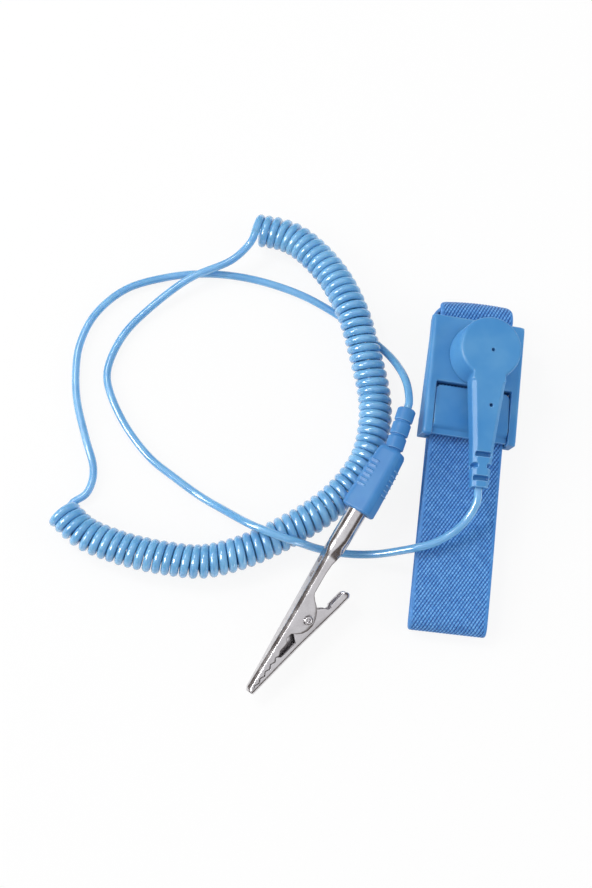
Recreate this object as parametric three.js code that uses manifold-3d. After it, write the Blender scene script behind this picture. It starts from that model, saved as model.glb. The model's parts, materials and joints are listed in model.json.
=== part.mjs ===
// Wrist strap with a curly grounding cord and a spring clip, laid out on a table.
// Millimetres, +Z up. The origin is under the middle of the wristband, on the table.
import * as THREE from "three";
import { mergeVertices } from "three/addons/utils/BufferGeometryUtils.js";
import Module from "manifold-3d";

const wasm = await Module();
wasm.setup();

const rad = THREE.MathUtils.degToRad;
const V = (x, y, z) => new THREE.Vector3(x, y, z);

// ---- Driving dimensions ----------------------------------------------------------------------

const CLEARANCE = 0.3; // between pieces that touch on the real strap
const PAST = 1; // how far a cutting tool runs past the face it cuts
const ROUND = 32; // segments of a round piece
const SMALL_ROUND = 16; // segments of a small one

// Wristband: an elastic strip bent into a flat loop
const BAND_WIDTH = 20;
const BAND_THICKNESS = 1.3;
const BAND_LENGTH = 85; // of the loop as it lies
const BAND_LEAN = -6.5; // degrees about +Z
const BAND_ACROSS = -0.7; // of its middle, so that band and buckle are centred on the origin
const BAND_SLIT = 1; // between the strip's two ends, under the buckle
const BAND_STEP = 5; // between cross-sections of the strip
const FOLD_STEPS = 8;

// Buckle: the pad that the snap sits on, with two rails beside the clasp
const SKIRT_WIDTH = 1.6; // of the walls beside the band
const BAND_SIDE_GAP = 0.4; // between the band's edge and each wall
const BUCKLE_WIDTH = BAND_WIDTH + 2 * (BAND_SIDE_GAP + SKIRT_WIDTH);
const BUCKLE_LENGTH = 31;
const BUCKLE_THICKNESS = 3;
const BUCKLE_CORNER = 1;
const BUCKLE_EDGE = 0.4; // bevel along its upper edge
const BUCKLE_HEIGHT = 10; // of the pad's underside at its middle
const BUCKLE_INSET = 21.9; // of its middle from the band's top end
const BUCKLE_ALONG = BAND_LENGTH / 2 - BUCKLE_INSET; // from the band's middle to the buckle's
const BUCKLE_PITCH = 3.5; // degrees, top end up
const BUCKLE_ROLL = 10; // degrees, left side up
const SKIRT_FLARE = 0.5; // of a wall's foot, outwards, at the buckle's lower end
const SKIRT_RISE = 4; // of a wall's foot, up to the buckle's upper end
const RAIL_WIDTH = 2.3; // beside the clasp's window
const WINDOW_WIDTH = BUCKLE_WIDTH - 2 * RAIL_WIDTH;
const WINDOW_LENGTH = 13.7; // up from the buckle's lower end, which is open
const ANVIL_LENGTH = 5; // of the bar under the band that the clasp presses against
const ANVIL_THICKNESS = 1.4;

// Clasp lever and its pin
const PIN_RADIUS = 0.7;
const PIN_ALONG = 3.6; // from the buckle's lower end
const PIN_HEIGHT = 1.5; // above the pad's underside
const PIN_SEAT = 0.8; // how far each end of the pin goes into its rail
const HUB_WALL = 0.5;
const LEVER_TOP = 2.3; // above the pad's underside
const LEVER_THICKNESS = 1.6;
const LEVER_GAP = 0.7; // from the lever's free edge to the window's upper edge
const LIP_LENGTH = 3.3; // of the lever below its pin
const LIP_THICKNESS = 1.2;

// Skin plate, its rivet and the snap stud
const PLATE_WIDTH = 17;
const PLATE_LENGTH = 20;
const PLATE_CORNER = 2;
const PLATE_THICKNESS = 1.4;
const PLATE_ALONG = 4.5; // from the buckle's middle
const STUD_ALONG = 6; // from the buckle's middle
const STUD_ACROSS = 0.9; // from its centre line
const STUD_FLANGE_RADIUS = 4;
const STUD_FLANGE_THICKNESS = 0.5;
const STUD_NECK_RADIUS = 1.5;
const STUD_NECK_HEIGHT = 1.1;
const STUD_BALL_RADIUS = 2;
const STUD_BALL_HEIGHT = 2.2;
const STUD_SHANK_RADIUS = 1.8;
const RIVET_SHANK_RADIUS = 0.9;
const RIVET_HEAD_RADIUS = 2.9;
const RIVET_HEAD_THICKNESS = 0.4;
const RIVET_SINK = 0.1; // of its head below the plate's skin side

// Snap head: a round cap with a neck that ends in a slotted strain relief
const HEAD_RADIUS = 8.2; // of the cap's foot
const HEAD_TOP_RADIUS = 7.5;
const HEAD_HEIGHT = 9;
const HEAD_EDGE = 0.4; // rounding of the cap's upper edge
const HEAD_WALL = 1;
const HEAD_SWING = 1.8; // degrees from the buckle's own axis
const NECK_ROOT = 5; // from the stud's axis, inside the cap
const NECK_TAPER_END = 24; // where the strain relief starts
const NECK_END = 34.5;
const NECK_WIDTHS = [9.6, 5.6, 4.2]; // at those three places
const NECK_UNDERSIDE = 1.6; // above the cap's underside
const NECK_STEP = 0.25; // of its top below the cap's
const NECK_DROP = 2.5; // of its top towards the end
const NECK_CHAMFER = 1;
const RELIEF_SLOTS = [26.5, 32.3]; // across the top and underside, from the stud's axis
const RELIEF_SIDE_SLOT = 29.3;
const RELIEF_SLOT_LENGTH = 1.2;
const RELIEF_SLOT_WIDTH = 3.4;
const RELIEF_SLOT_DEPTH = 1;
const BASE_THICKNESS = 1.2;
const TAIL_WIDTH = 4; // of the base's tail, under the resistor
const TAIL_THICKNESS = 0.85;
const TAIL_END = 21;
const RISER_LENGTH = 1.3;
const SOCKET_RADIUS = 3.8;
const SOCKET_RIM_RADIUS = 5;
const SOCKET_SHEET = 0.4;
const SOCKET_GROOVE_RADIUS = 2.8;
const SOCKET_GROOVE_HEIGHT = 0.9;
const RING_WIRE_RADIUS = 0.25;
const RING_ARC = 330; // degrees
const RESISTOR_RADIUS = 1.15;
const RESISTOR_WAIST = 0.95;
const RESISTOR_CAP = 1.2;
const RESISTOR_LENGTH = 6.4;
const RESISTOR_ALONG = 13.5; // from the stud's axis
const WIRE_RADIUS = 0.3;

// Cord: two plain leads and a long curly stretch between them
const CORD_RADIUS = 1;
const CORD_SIDES = 8;
const CORD_STEP = 5; // about two and a half diameters
const CURL_TURNS = 73.5;
const CURL_RADIUS = 3.25; // of the helix, to the wire's middle
const CURL_STEPS = 8;
const CURL_SIDES = 5;
const CURL_GAP = 0.6; // kept between neighbouring turns where they are closest
const CURL_END = 2 * CORD_RADIUS; // straight run at each end

// Plug: boot with a collared strain relief, and the pin with its spring leaves
const BOOT_WIDTH = 7.7;
const BOOT_THICKNESS = 6.6;
const BOOT_LENGTH = 17.5;
const BOOT_CORNER = 1.6;
const BOOT_ROLL = 18; // degrees, its face towards the coil
const SHROUD_DEPTH = 6; // of the recess that the clip's barrel goes into
const GRIP_RIBS = 6;
const GRIP_RIB_PITCH = 1.3;
const GRIP_RIB_WIDTH = 0.6;
const GRIP_RIB_HEIGHT = 0.3;
const GRIP_START = 4.5; // from the boot's open end
const COLLARS = 3;
const COLLAR_RADIUS = 2.3;
const COLLAR_CORE_RADIUS = 1.7;
const COLLAR_PITCH = 3.5;
const COLLAR_LENGTH = 2.9;
const COLLAR_EDGE = 0.4;
const COLLAR_BEND = 13; // degrees between the boot and its strain relief
const CORE_RADIUS = 1.1;
const CORE_BACK = 15; // of the pin's core, behind the boot's open end
const CORE_FRONT = 8; // and before it
const CORE_TIP_RADIUS = 1.7;
const CORE_TIP_LENGTH = 1.2;
const LEAF_RADIUS = 1.7;
const LEAF_WALL = 0.3;
const LEAF_BACK = 4; // of the leaves, behind the boot's open end
const LEAF_SLOTS = 2; // each cuts both sides
const LEAF_SLOT_WIDTH = 0.4;
const LEAF_SLOT_LENGTH = 7;

// Spring clip of bent sheet metal
const CLIP_MOUTH = V(-27.7, -13.2, 10.6); // the middle of the boot's open end
const CLIP_HEADING = -121.3; // degrees about +Z, from +X to the clip's own axis
const CLIP_SLOPE = 7.4; // degrees, tip down
const CLIP_ROLL = -22; // degrees, thumb lever down
const CLIP_LENGTH = 51; // from the boot's open end to the tip
const BARREL_INNER_RADIUS = 2.05;
const BARREL_OUTER_RADIUS = 2.5;
const BARREL_BACK = 5; // of the barrel, inside the boot
const BARREL_FRONT = 10;
const SHEET = 0.6;
const CHANNEL_START = 8;
const SHOULDER = 13; // where the channel is widest
const SHOULDER_WIDTH = 6.2;
const PIVOT_WIDTH = 5.6;
const TIP_WIDTH = 3;
const PIVOT_ALONG = 29;
const PIVOT_ACROSS = 2.7;
const EAR_REACH = 4.4; // along the clip, each way from the rivet
const JAW_RIVET_RADIUS = 0.6;
const JAW_RIVET_HEAD_RADIUS = 1.15;
const JAW_RIVET_HEAD_THICKNESS = 0.5;
const TEETH_FROM = 40.6; // along the clip
const TEETH = 5;
const TOOTH_HEIGHT = 0.6;
const JAW_GAP = 0.35; // between the closed jaws' teeth
const BACK_SLOTS = [14, 18]; // along the clip
const BACK_SLOT_LENGTH = 1.6;
const BACK_SLOT_WIDTH = 2;
const THUMB_HOLE_RADIUS = 1;
const SPRING_WIRE_RADIUS = 0.22;
const SPRING_RADIUS = 1.6;
const SPRING_TURNS = 1.5;
const SPRING_PITCH = 0.95;
const SPRING_LEG = 3;

// ---- Routes, chosen by hand along the lay of the real cord ------------------------------------

const WRIST_LEAD = [
  [-54.8, 58.1, 6.2], [-59.5, 55.9, 4.9], [-70.5, 51.3, 3.6], [-81, 43.7, 1.6],
  [-87.4, 36.9, 1.1], [-90.8, 30, 1.1], [-91.7, 25.3, 1.1], [-90.8, 20.7, 1.1],
  [-86.6, 11.8, 1.1], [-79.9, 3, 1.1], [-73.4, -2.3, 1.1], [-67, -7.1, 1.5],
  [-60.5, -11.6, 4.6], [-54, -16.1, 9.1], [-49.6, -18.2, 10.3], [-45.4, -19.8, 10.1],
  [-41.7, -20.5, 7.8], [-38, -21, 4.2], [-34.2, -21.5, 2.3], [-29.3, -22.2, 2.4],
  [-23.1, -22.6, 4.2], [-17.1, -22.4, 7.4], [-13.4, -22.1, 9.5], [-9.5, -21.2, 10.2],
  [-4.4, -18.6, 11], [-0.8, -15.3, 12.6],
].map((p) => V(...p));

const CLIP_LEAD = [
  [-94.4, -5.4, 1.2], [-94.1, 0.3, 1.2], [-96.4, 7.8, 1.2], [-99.2, 18.5, 1.2],
  [-99.8, 26.7, 1.2], [-99.1, 33.6, 1.2], [-95.5, 41.9, 1.2], [-87.8, 49, 1.2],
  [-77.4, 52.4, 1.2], [-66.8, 53.5, 1.2], [-54.9, 52.1, 1.2], [-41.6, 47.6, 1.2],
  [-31.2, 41.4, 1.2], [-22.9, 34.3, 1.6], [-18.4, 26.6, 4.2], [-16, 19.4, 8.6],
].map((p) => V(...p));

const COIL_AXIS = [
  [-51.7, 65.3, 4.4], [-45.6, 64.1, 4.4], [-41.2, 60.5, 4.6], [-33.5, 51.6, 5.8],
  [-28.2, 40.6, 7], [-24.7, 28, 5.8], [-22.6, 17.5, 4.4], [-22.9, 9.5, 4.4],
  [-25, 1.6, 4.4], [-30.4, -6.2, 4.4], [-37.2, -12.2, 4.4], [-44.2, -16.5, 4.4],
  [-51.6, -20.3, 4.4], [-59, -23.1, 4.4], [-66.4, -24.5, 4.4], [-73.9, -23.8, 4.4],
  [-81.3, -22.4, 4.4], [-88.4, -20.3, 4.4], [-94.9, -17.3, 4.4], [-99.6, -12.7, 4.4],
].map((p) => V(...p));

// ---- Materials -------------------------------------------------------------------------------

const finish = (color, roughness, metalness = 0) =>
  new THREE.MeshStandardMaterial({ color, roughness, metalness });
const WEBBING = finish(0x4a8bd4, 0.85);
const MOULDING = finish(0x5a95cf, 0.5);
const CORD_JACKET = finish(0x5fa5e2, 0.3);
const STAINLESS = finish(0xc4c6c9, 0.35, 1);
const NICKEL = finish(0xd2d2d4, 0.22, 1);
const SPRING_STEEL = finish(0x8f9296, 0.4, 1);
const CERAMIC = finish(0xc9a578, 0.6);
const COPPER = finish(0xb87a4b, 0.4, 1);

// ---- Solids ----------------------------------------------------------------------------------

/** Six times the volume inside triangles, negative when they face inwards. */
function signedVolume(positions, triangles) {
  const corner = (i) => V(...positions.slice(3 * triangles[i], 3 * triangles[i] + 3));
  let sum = 0;
  for (let i = 0; i < triangles.length; i += 3) {
    sum += corner(i).dot(corner(i + 1).cross(corner(i + 2)));
  }
  return sum;
}

/** A closed geometry as a solid that can be joined and cut. */
function solid(geometry) {
  geometry.deleteAttribute("normal");
  geometry.deleteAttribute("uv");
  const merged = mergeVertices(geometry, 1e-4);
  const vertProperties = merged.attributes.position.array;
  const triVerts = new Uint32Array(merged.index.array);
  if (signedVolume(vertProperties, triVerts) < 0) triVerts.reverse();
  return new wasm.Manifold(new wasm.Mesh({ numProp: 3, vertProperties, triVerts }));
}

const join = (first, ...others) => others.reduce((sum, s) => sum.add(s), first);
const cut = (body, ...tools) => tools.reduce((rest, s) => rest.subtract(s), body);

/** A named mesh of a solid, or of a closed geometry. */
function piece(name, shape, material) {
  let geometry = shape;
  if (!shape.isBufferGeometry) {
    const mesh = shape.getMesh();
    geometry = new THREE.BufferGeometry();
    geometry.setAttribute("position", new THREE.BufferAttribute(mesh.vertProperties, 3));
    geometry.setIndex(new THREE.BufferAttribute(mesh.triVerts, 1));
  }
  geometry.computeVertexNormals();
  const made = new THREE.Mesh(geometry, material);
  made.name = name;
  return made;
}

function box([x0, x1], [y0, y1], [z0, z1]) {
  const made = new THREE.BoxGeometry(x1 - x0, y1 - y0, z1 - z0);
  return solid(made.translate((x0 + x1) / 2, (y0 + y1) / 2, (z0 + z1) / 2));
}

/** A profile of [radius, height] points turned about +Z. */
function turned(profile, segments = ROUND) {
  const points = profile.map(([r, z]) => new THREE.Vector2(r, z));
  const made = new THREE.LatheGeometry([...points, points[0]], segments);
  return solid(made.rotateX(Math.PI / 2));
}

const rod = (radius, z0, z1, segments = SMALL_ROUND) =>
  turned([[0, z0], [radius, z0], [radius, z1], [0, z1]], segments);

/** An outline of [x, y] points, or a shape, raised from z0 to z1. */
function raised(outline, z0, z1, bevel = 0) {
  const given = outline instanceof THREE.Shape;
  const shape = given ? outline : new THREE.Shape(outline.map((p) => new THREE.Vector2(...p)));
  const made = new THREE.ExtrudeGeometry(shape, {
    depth: z1 - z0 - 2 * bevel,
    bevelEnabled: bevel > 0,
    bevelSize: bevel,
    bevelThickness: bevel,
    bevelOffset: -bevel,
    bevelSegments: 2,
    curveSegments: 4,
  });
  return solid(made.translate(0, 0, z0 + bevel));
}

/** A rectangle with round corners, centred on the origin. */
function roundedRectangle(width, length, corner) {
  const [x, y] = [width / 2, length / 2];
  const shape = new THREE.Shape();
  shape.moveTo(-x + corner, -y);
  shape.lineTo(x - corner, -y);
  shape.absarc(x - corner, -y + corner, corner, -Math.PI / 2, 0);
  shape.lineTo(x, y - corner);
  shape.absarc(x - corner, y - corner, corner, 0, Math.PI / 2);
  shape.lineTo(-x + corner, y);
  shape.absarc(-x + corner, y - corner, corner, Math.PI / 2, Math.PI);
  shape.lineTo(-x, -y + corner);
  shape.absarc(-x + corner, -y + corner, corner, Math.PI, 1.5 * Math.PI);
  return shape;
}

/** A closed skin over rings of equally many points, with both ends capped. */
function skin(rings) {
  const sides = rings[0].length;
  const positions = rings.flat().flatMap((p) => [p.x, p.y, p.z]);
  const index = [];
  for (let i = 0; i + 1 < rings.length; i++) {
    for (let k = 0; k < sides; k++) {
      const [a, b] = [i * sides + k, i * sides + ((k + 1) % sides)];
      index.push(a, b, b + sides, a, b + sides, a + sides);
    }
  }
  const last = (rings.length - 1) * sides;
  for (let k = 1; k + 1 < sides; k++) {
    index.push(0, k + 1, k, last, last + k, last + k + 1);
  }
  const made = new THREE.BufferGeometry();
  made.setAttribute("position", new THREE.Float32BufferAttribute(positions, 3));
  return made.setIndex(index);
}

/** A round tube along a smooth curve through points. */
function tube(points, radius, sides, step) {
  const path = new THREE.CatmullRomCurve3(points, false, "centripetal");
  const corners = [...Array(sides).keys()].map((k) => {
    const turn = (2 * Math.PI * k) / sides;
    return new THREE.Vector2(radius * Math.cos(turn), radius * Math.sin(turn));
  });
  const steps = Math.max(1, Math.ceil(path.getLength() / step));
  return new THREE.ExtrudeGeometry(new THREE.Shape(corners), { steps, extrudePath: path });
}

// ---- Helices ---------------------------------------------------------------------------------

/**
 * A helix wound round an axis curve: its points, and the direction from the axis to each.
 * A negative handedness winds it left-handed.
 */
function helix(axis, radius, turns, startTurn, handedness, reference) {
  const count = Math.round(turns * CURL_STEPS);
  const points = [];
  const outward = [];
  for (let i = 0; i <= count; i++) {
    const along = axis.getTangentAt(i / count);
    const up = reference.clone().addScaledVector(along, -reference.dot(along)).normalize();
    const side = along.clone().cross(up);
    const turn = startTurn + (handedness * 2 * Math.PI * i) / CURL_STEPS;
    const away = up.multiplyScalar(Math.cos(turn)).addScaledVector(side, Math.sin(turn));
    outward.push(away);
    points.push(axis.getPointAt(i / count).addScaledVector(away, radius));
  }
  return { points, outward };
}

/** Straight runs added at both ends of a helix, each square to the way out from the axis there. */
function withStraightEnds({ points, outward }, length) {
  const last = points.length - 1;
  const beyond = (end, inner) => {
    const run = points[end].clone().sub(points[inner]);
    run.addScaledVector(outward[end], -run.dot(outward[end])).setLength(length);
    return run.add(points[end]);
  };
  return {
    points: [beyond(0, 1), ...points, beyond(last, last - 1)],
    outward: [outward[0], ...outward, outward[last]],
  };
}

/**
 * The rings of a wire along a helix. Each ring is the wire's full radius away from the axis,
 * and along the axis as wide as leaves the gap to the neighbouring turns.
 */
function wireRings({ points, outward }, radius, gap) {
  const last = points.length - 1;
  return points.map((point, i) => {
    const along = points[Math.min(i + 1, last)].clone().sub(points[Math.max(i - 1, 0)]).normalize();
    const away = outward[i].clone().addScaledVector(along, -outward[i].dot(along)).normalize();
    const side = away.clone().cross(along);
    const near = [i - CURL_STEPS, i + CURL_STEPS].filter((k) => k >= 1 && k < last);
    const room = Math.min(...near.map((k) => points[k].distanceTo(point)));
    const half = i === 0 || i === last ? radius : Math.min(radius, (room - gap) / 2);
    return [...Array(CURL_SIDES).keys()].map((k) => {
      const turn = (2 * Math.PI * k) / CURL_SIDES;
      const ring = point.clone().addScaledVector(away, radius * Math.cos(turn));
      return ring.addScaledVector(side, half * Math.sin(turn));
    });
  });
}

/** The least distance between points of rings that lie more than half a turn apart. */
function leastGap(rings) {
  let least = Infinity;
  rings.forEach((ring, i) => {
    for (const other of rings.slice(i + CURL_STEPS / 2 + 1)) {
      if (ring[0].distanceTo(other[0]) < 2 * SEARCH) {
        for (const p of ring) least = Math.min(least, ...other.map((q) => p.distanceTo(q)));
      }
    }
  });
  return least;
}
const SEARCH = 4; // rings further apart than twice this can't be the closest

// ---- Wristband -------------------------------------------------------------------------------

const wrist = new THREE.Group();
wrist.position.x = BAND_ACROSS;
wrist.rotation.z = rad(BAND_LEAN);

const buckle = new THREE.Group();
buckle.position.set(0, BUCKLE_ALONG, BUCKLE_HEIGHT);
buckle.rotation.set(rad(BUCKLE_PITCH), rad(BUCKLE_ROLL), 0);
buckle.updateMatrix();
wrist.add(buckle);

const BAND_TOP = -CLEARANCE; // the strip's upper face, in the buckle's frame
const BAND_UNDERSIDE = BAND_TOP - BAND_THICKNESS;
const PLATE_TOP = BAND_UNDERSIDE - CLEARANCE;
const PLATE_UNDERSIDE = PLATE_TOP - PLATE_THICKNESS;
const BUCKLE_END = BUCKLE_LENGTH / 2;

const upperNormal = V(0, 0, 1).transformDirection(buckle.matrix);
const upperPoint = V(0, 0, BAND_TOP - BAND_THICKNESS / 2).applyMatrix4(buckle.matrix);

/** The height of the upper layer's middle at a place along the loop. */
function upperHeight(y) {
  const across = upperNormal.x * upperPoint.x;
  return upperPoint.z + (across - upperNormal.y * (y - upperPoint.y)) / upperNormal.z;
}

/** One cross-section of the strip: its middle, and how far it is rolled, from 0 to 1. */
const station = (y, z, roll) => ({ middle: V(0, y, z), roll });

function bandStations() {
  const halfSheet = BAND_THICKNESS / 2;
  const foldHeight = (end) => upperHeight(end * (BAND_LENGTH / 2 - BAND_THICKNESS));
  const foldRadius = (end) => (foldHeight(end) - halfSheet) / 2;
  const foldCentre = (end) => end * (BAND_LENGTH / 2 - halfSheet - foldRadius(end));
  const [top, bottom] = [foldCentre(1), foldCentre(-1)];
  const buckleFoot = BUCKLE_ALONG - BUCKLE_END;
  const rollAt = (y) => THREE.MathUtils.smoothstep(y, bottom, buckleFoot);
  const run = (from, to, height, roll) => {
    const steps = Math.ceil(Math.abs(to - from) / BAND_STEP);
    const places = [...Array(steps + 1).keys()].map((i) => from + ((to - from) * i) / steps);
    return places.map((y) => station(y, height(y), roll(y)));
  };
  const fold = (end, roll) => {
    const [centre, radius] = [foldCentre(end), foldRadius(end)];
    return [...Array(FOLD_STEPS - 1).keys()].map((i) => {
      const turn = (Math.PI * (i + 1)) / FOLD_STEPS;
      const fromTop = end > 0 ? turn : Math.PI - turn;
      const y = centre + end * radius * Math.sin(turn);
      return station(y, halfSheet + radius * (1 + Math.cos(fromTop)), roll * (1 + Math.cos(fromTop)) / 2);
    });
  };
  const slit = BUCKLE_ALONG - BAND_SLIT / 2;
  return [
    ...run(slit + BAND_SLIT, top, upperHeight, rollAt),
    ...fold(1, 1),
    ...run(top, bottom, () => halfSheet, () => 0),
    ...fold(-1, 0),
    ...run(bottom, slit, upperHeight, rollAt),
  ];
}

function wristBand() {
  const stations = bandStations();
  const last = stations.length - 1;
  const fullRoll = -upperNormal.x / upperNormal.z;
  const rings = stations.map(({ middle, roll }, i) => {
    const [before, after] = [stations[Math.max(i - 1, 0)], stations[Math.min(i + 1, last)]];
    const along = after.middle.clone().sub(before.middle).normalize();
    const across = V(1, 0, fullRoll * roll).normalize();
    const normal = across.clone().cross(along).normalize().multiplyScalar(BAND_THICKNESS / 2);
    across.multiplyScalar(BAND_WIDTH / 2);
    return [
      middle.clone().sub(across).sub(normal),
      middle.clone().add(across).sub(normal),
      middle.clone().add(across).add(normal),
      middle.clone().sub(across).add(normal),
    ];
  });
  const hole = rod(STUD_SHANK_RADIUS + CLEARANCE, PLATE_UNDERSIDE, BUCKLE_THICKNESS)
    .translate(STUD_ACROSS, STUD_ALONG, 0)
    .transform(buckle.matrix.toArray());
  return cut(solid(skin(rings)), hole);
}

// ---- Buckle ----------------------------------------------------------------------------------

const PIN_PLACE = -BUCKLE_END + PIN_ALONG;
const PIN_REACH = WINDOW_WIDTH / 2 + PIN_SEAT;
const WINDOW_TOP = -BUCKLE_END + WINDOW_LENGTH;

const alongX = (shape) => shape.rotate(0, 90, 0);

function buckleFrame() {
  const [x, y] = [BUCKLE_WIDTH / 2, BUCKLE_END];
  const outline = roundedRectangle(BUCKLE_WIDTH, BUCKLE_LENGTH, BUCKLE_CORNER);
  const pad = raised(outline, 0, BUCKLE_THICKNESS, BUCKLE_EDGE);
  const window = box([-WINDOW_WIDTH / 2, WINDOW_WIDTH / 2], [-y - PAST, WINDOW_TOP], [-PAST, BUCKLE_THICKNESS + PAST]);
  const anvilTop = PLATE_TOP;
  const anvilFoot = anvilTop - ANVIL_THICKNESS;
  const skirtTop = BUCKLE_THICKNESS - BUCKLE_EDGE;
  const ring = (side, along, flare, foot) => [
    V(side * (x - SKIRT_WIDTH), along, skirtTop), V(side * x, along, skirtTop),
    V(side * (x + flare), along, foot), V(side * (x - SKIRT_WIDTH), along, foot),
  ];
  const skirts = [-1, 1].map((side) =>
    solid(skin([ring(side, -y, SKIRT_FLARE, anvilFoot), ring(side, y, 0, anvilFoot + SKIRT_RISE)])));
  const anvil = box([-x, x], [-y, -y + ANVIL_LENGTH], [anvilFoot, anvilTop]);
  const pinHole = alongX(rod(PIN_RADIUS + CLEARANCE, -PIN_REACH - CLEARANCE, PIN_REACH + CLEARANCE));
  const studHole = rod(STUD_SHANK_RADIUS + CLEARANCE, -PAST, BUCKLE_THICKNESS + PAST);
  const body = join(cut(pad, window), ...skirts, anvil);
  return cut(body, pinHole.translate(0, PIN_PLACE, PIN_HEIGHT), studHole.translate(STUD_ACROSS, STUD_ALONG, 0));
}

function claspLever() {
  const half = WINDOW_WIDTH / 2 - CLEARANCE;
  const hub = alongX(rod(PIN_RADIUS + CLEARANCE + HUB_WALL, -half, half)).translate(0, PIN_PLACE, PIN_HEIGHT);
  const blade = box([-half, half], [PIN_PLACE, WINDOW_TOP - LEVER_GAP], [LEVER_TOP - LEVER_THICKNESS, LEVER_TOP]);
  const lipHeights = [-1, 1].map((side) => PIN_HEIGHT + (side * LIP_THICKNESS) / 2);
  const lip = box([-half, half], [PIN_PLACE - LIP_LENGTH, PIN_PLACE], lipHeights);
  const bore = alongX(rod(PIN_RADIUS + CLEARANCE, -half - PAST, half + PAST));
  return cut(join(hub, blade, lip), bore.translate(0, PIN_PLACE, PIN_HEIGHT));
}

const claspPin = () => alongX(rod(PIN_RADIUS, -PIN_REACH, PIN_REACH)).translate(0, PIN_PLACE, PIN_HEIGHT);

function skinPlate() {
  const sheet = raised(roundedRectangle(PLATE_WIDTH, PLATE_LENGTH, PLATE_CORNER), PLATE_UNDERSIDE, PLATE_TOP);
  const recessTop = PLATE_UNDERSIDE + RIVET_SINK + RIVET_HEAD_THICKNESS + CLEARANCE;
  const recess = rod(RIVET_HEAD_RADIUS + CLEARANCE, PLATE_UNDERSIDE - PAST, recessTop, ROUND);
  const hole = rod(RIVET_SHANK_RADIUS + CLEARANCE, PLATE_UNDERSIDE - PAST, PLATE_TOP + PAST);
  return cut(sheet.translate(0, PLATE_ALONG, 0), join(recess, hole).translate(STUD_ACROSS, STUD_ALONG, 0));
}

// Heights along the stud's axis, in the buckle's frame
const FLANGE_FOOT = BUCKLE_THICKNESS + CLEARANCE;
const FLANGE_TOP = FLANGE_FOOT + STUD_FLANGE_THICKNESS;
const BALL_FOOT = FLANGE_TOP + STUD_NECK_HEIGHT;
const BALL_TOP = BALL_FOOT + STUD_BALL_HEIGHT;
const BALL_EDGE = (STUD_BALL_RADIUS - STUD_NECK_RADIUS); // its chamfer, back to the neck's radius

function snapStud() {
  const bore = RIVET_SHANK_RADIUS + CLEARANCE;
  return turned([
    [bore, BAND_UNDERSIDE], [STUD_SHANK_RADIUS, BAND_UNDERSIDE], [STUD_SHANK_RADIUS, FLANGE_FOOT],
    [STUD_FLANGE_RADIUS, FLANGE_FOOT], [STUD_FLANGE_RADIUS, FLANGE_TOP],
    [STUD_NECK_RADIUS, FLANGE_TOP], [STUD_NECK_RADIUS, BALL_FOOT],
    [STUD_BALL_RADIUS, BALL_FOOT + BALL_EDGE], [STUD_BALL_RADIUS, BALL_TOP - BALL_EDGE],
    [STUD_NECK_RADIUS, BALL_TOP], [0, BALL_TOP], [0, FLANGE_FOOT], [bore, FLANGE_FOOT],
  ], SMALL_ROUND).translate(STUD_ACROSS, STUD_ALONG, 0);
}

function studRivet() {
  const foot = PLATE_UNDERSIDE + RIVET_SINK;
  const head = rod(RIVET_HEAD_RADIUS, foot, foot + RIVET_HEAD_THICKNESS, ROUND);
  const shank = rod(RIVET_SHANK_RADIUS, foot, FLANGE_FOOT - CLEARANCE);
  return join(head, shank).translate(STUD_ACROSS, STUD_ALONG, 0);
}

// ---- Snap head -------------------------------------------------------------------------------

const head = new THREE.Group();
head.position.set(STUD_ACROSS, STUD_ALONG, 0);
head.rotation.z = rad(HEAD_SWING);
buckle.add(head);

const CAP_FOOT = FLANGE_FOOT;
const CAP_TOP = CAP_FOOT + HEAD_HEIGHT;
const NECK_FOOT = CAP_FOOT + NECK_UNDERSIDE;
const NECK_TOP = CAP_TOP - NECK_STEP;
const NECK_END_TOP = NECK_TOP - NECK_DROP;
const CORD_LEVEL = (NECK_FOOT + NECK_END_TOP) / 2; // of the wires and the cord in the neck
const BASE_TOP = CAP_FOOT + BASE_THICKNESS;
const TAIL_TOP = NECK_FOOT + TAIL_THICKNESS;
const SOCKET_FOOT = FLANGE_TOP + CLEARANCE;
const RIM_FOOT = BASE_TOP + CLEARANCE;
const SOCKET_TOP = BALL_TOP + CLEARANCE + SOCKET_SHEET;
const RESISTOR_BACK = RESISTOR_ALONG + RESISTOR_LENGTH / 2;
const RESISTOR_FRONT = RESISTOR_ALONG - RESISTOR_LENGTH / 2;

const alongY = (shape) => shape.rotate(90, 0, 0); // +Z turns to -Y, towards the cord

/** The height of the neck's top at a place along its strain relief. */
const reliefTop = (along) =>
  NECK_END_TOP + (((NECK_END - along) / (NECK_END - NECK_TAPER_END)) * NECK_DROP) / 2;

/** The neck's outline at a place along it, with its upper corners cut off. */
function neckRing(along, width, top) {
  const [x, c] = [width / 2, NECK_CHAMFER];
  const outline = [[-x, NECK_FOOT], [x, NECK_FOOT], [x, top - c], [x - c, top], [c - x, top], [-x, top - c]];
  return outline.map(([px, pz]) => V(px, -along, pz));
}

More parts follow.
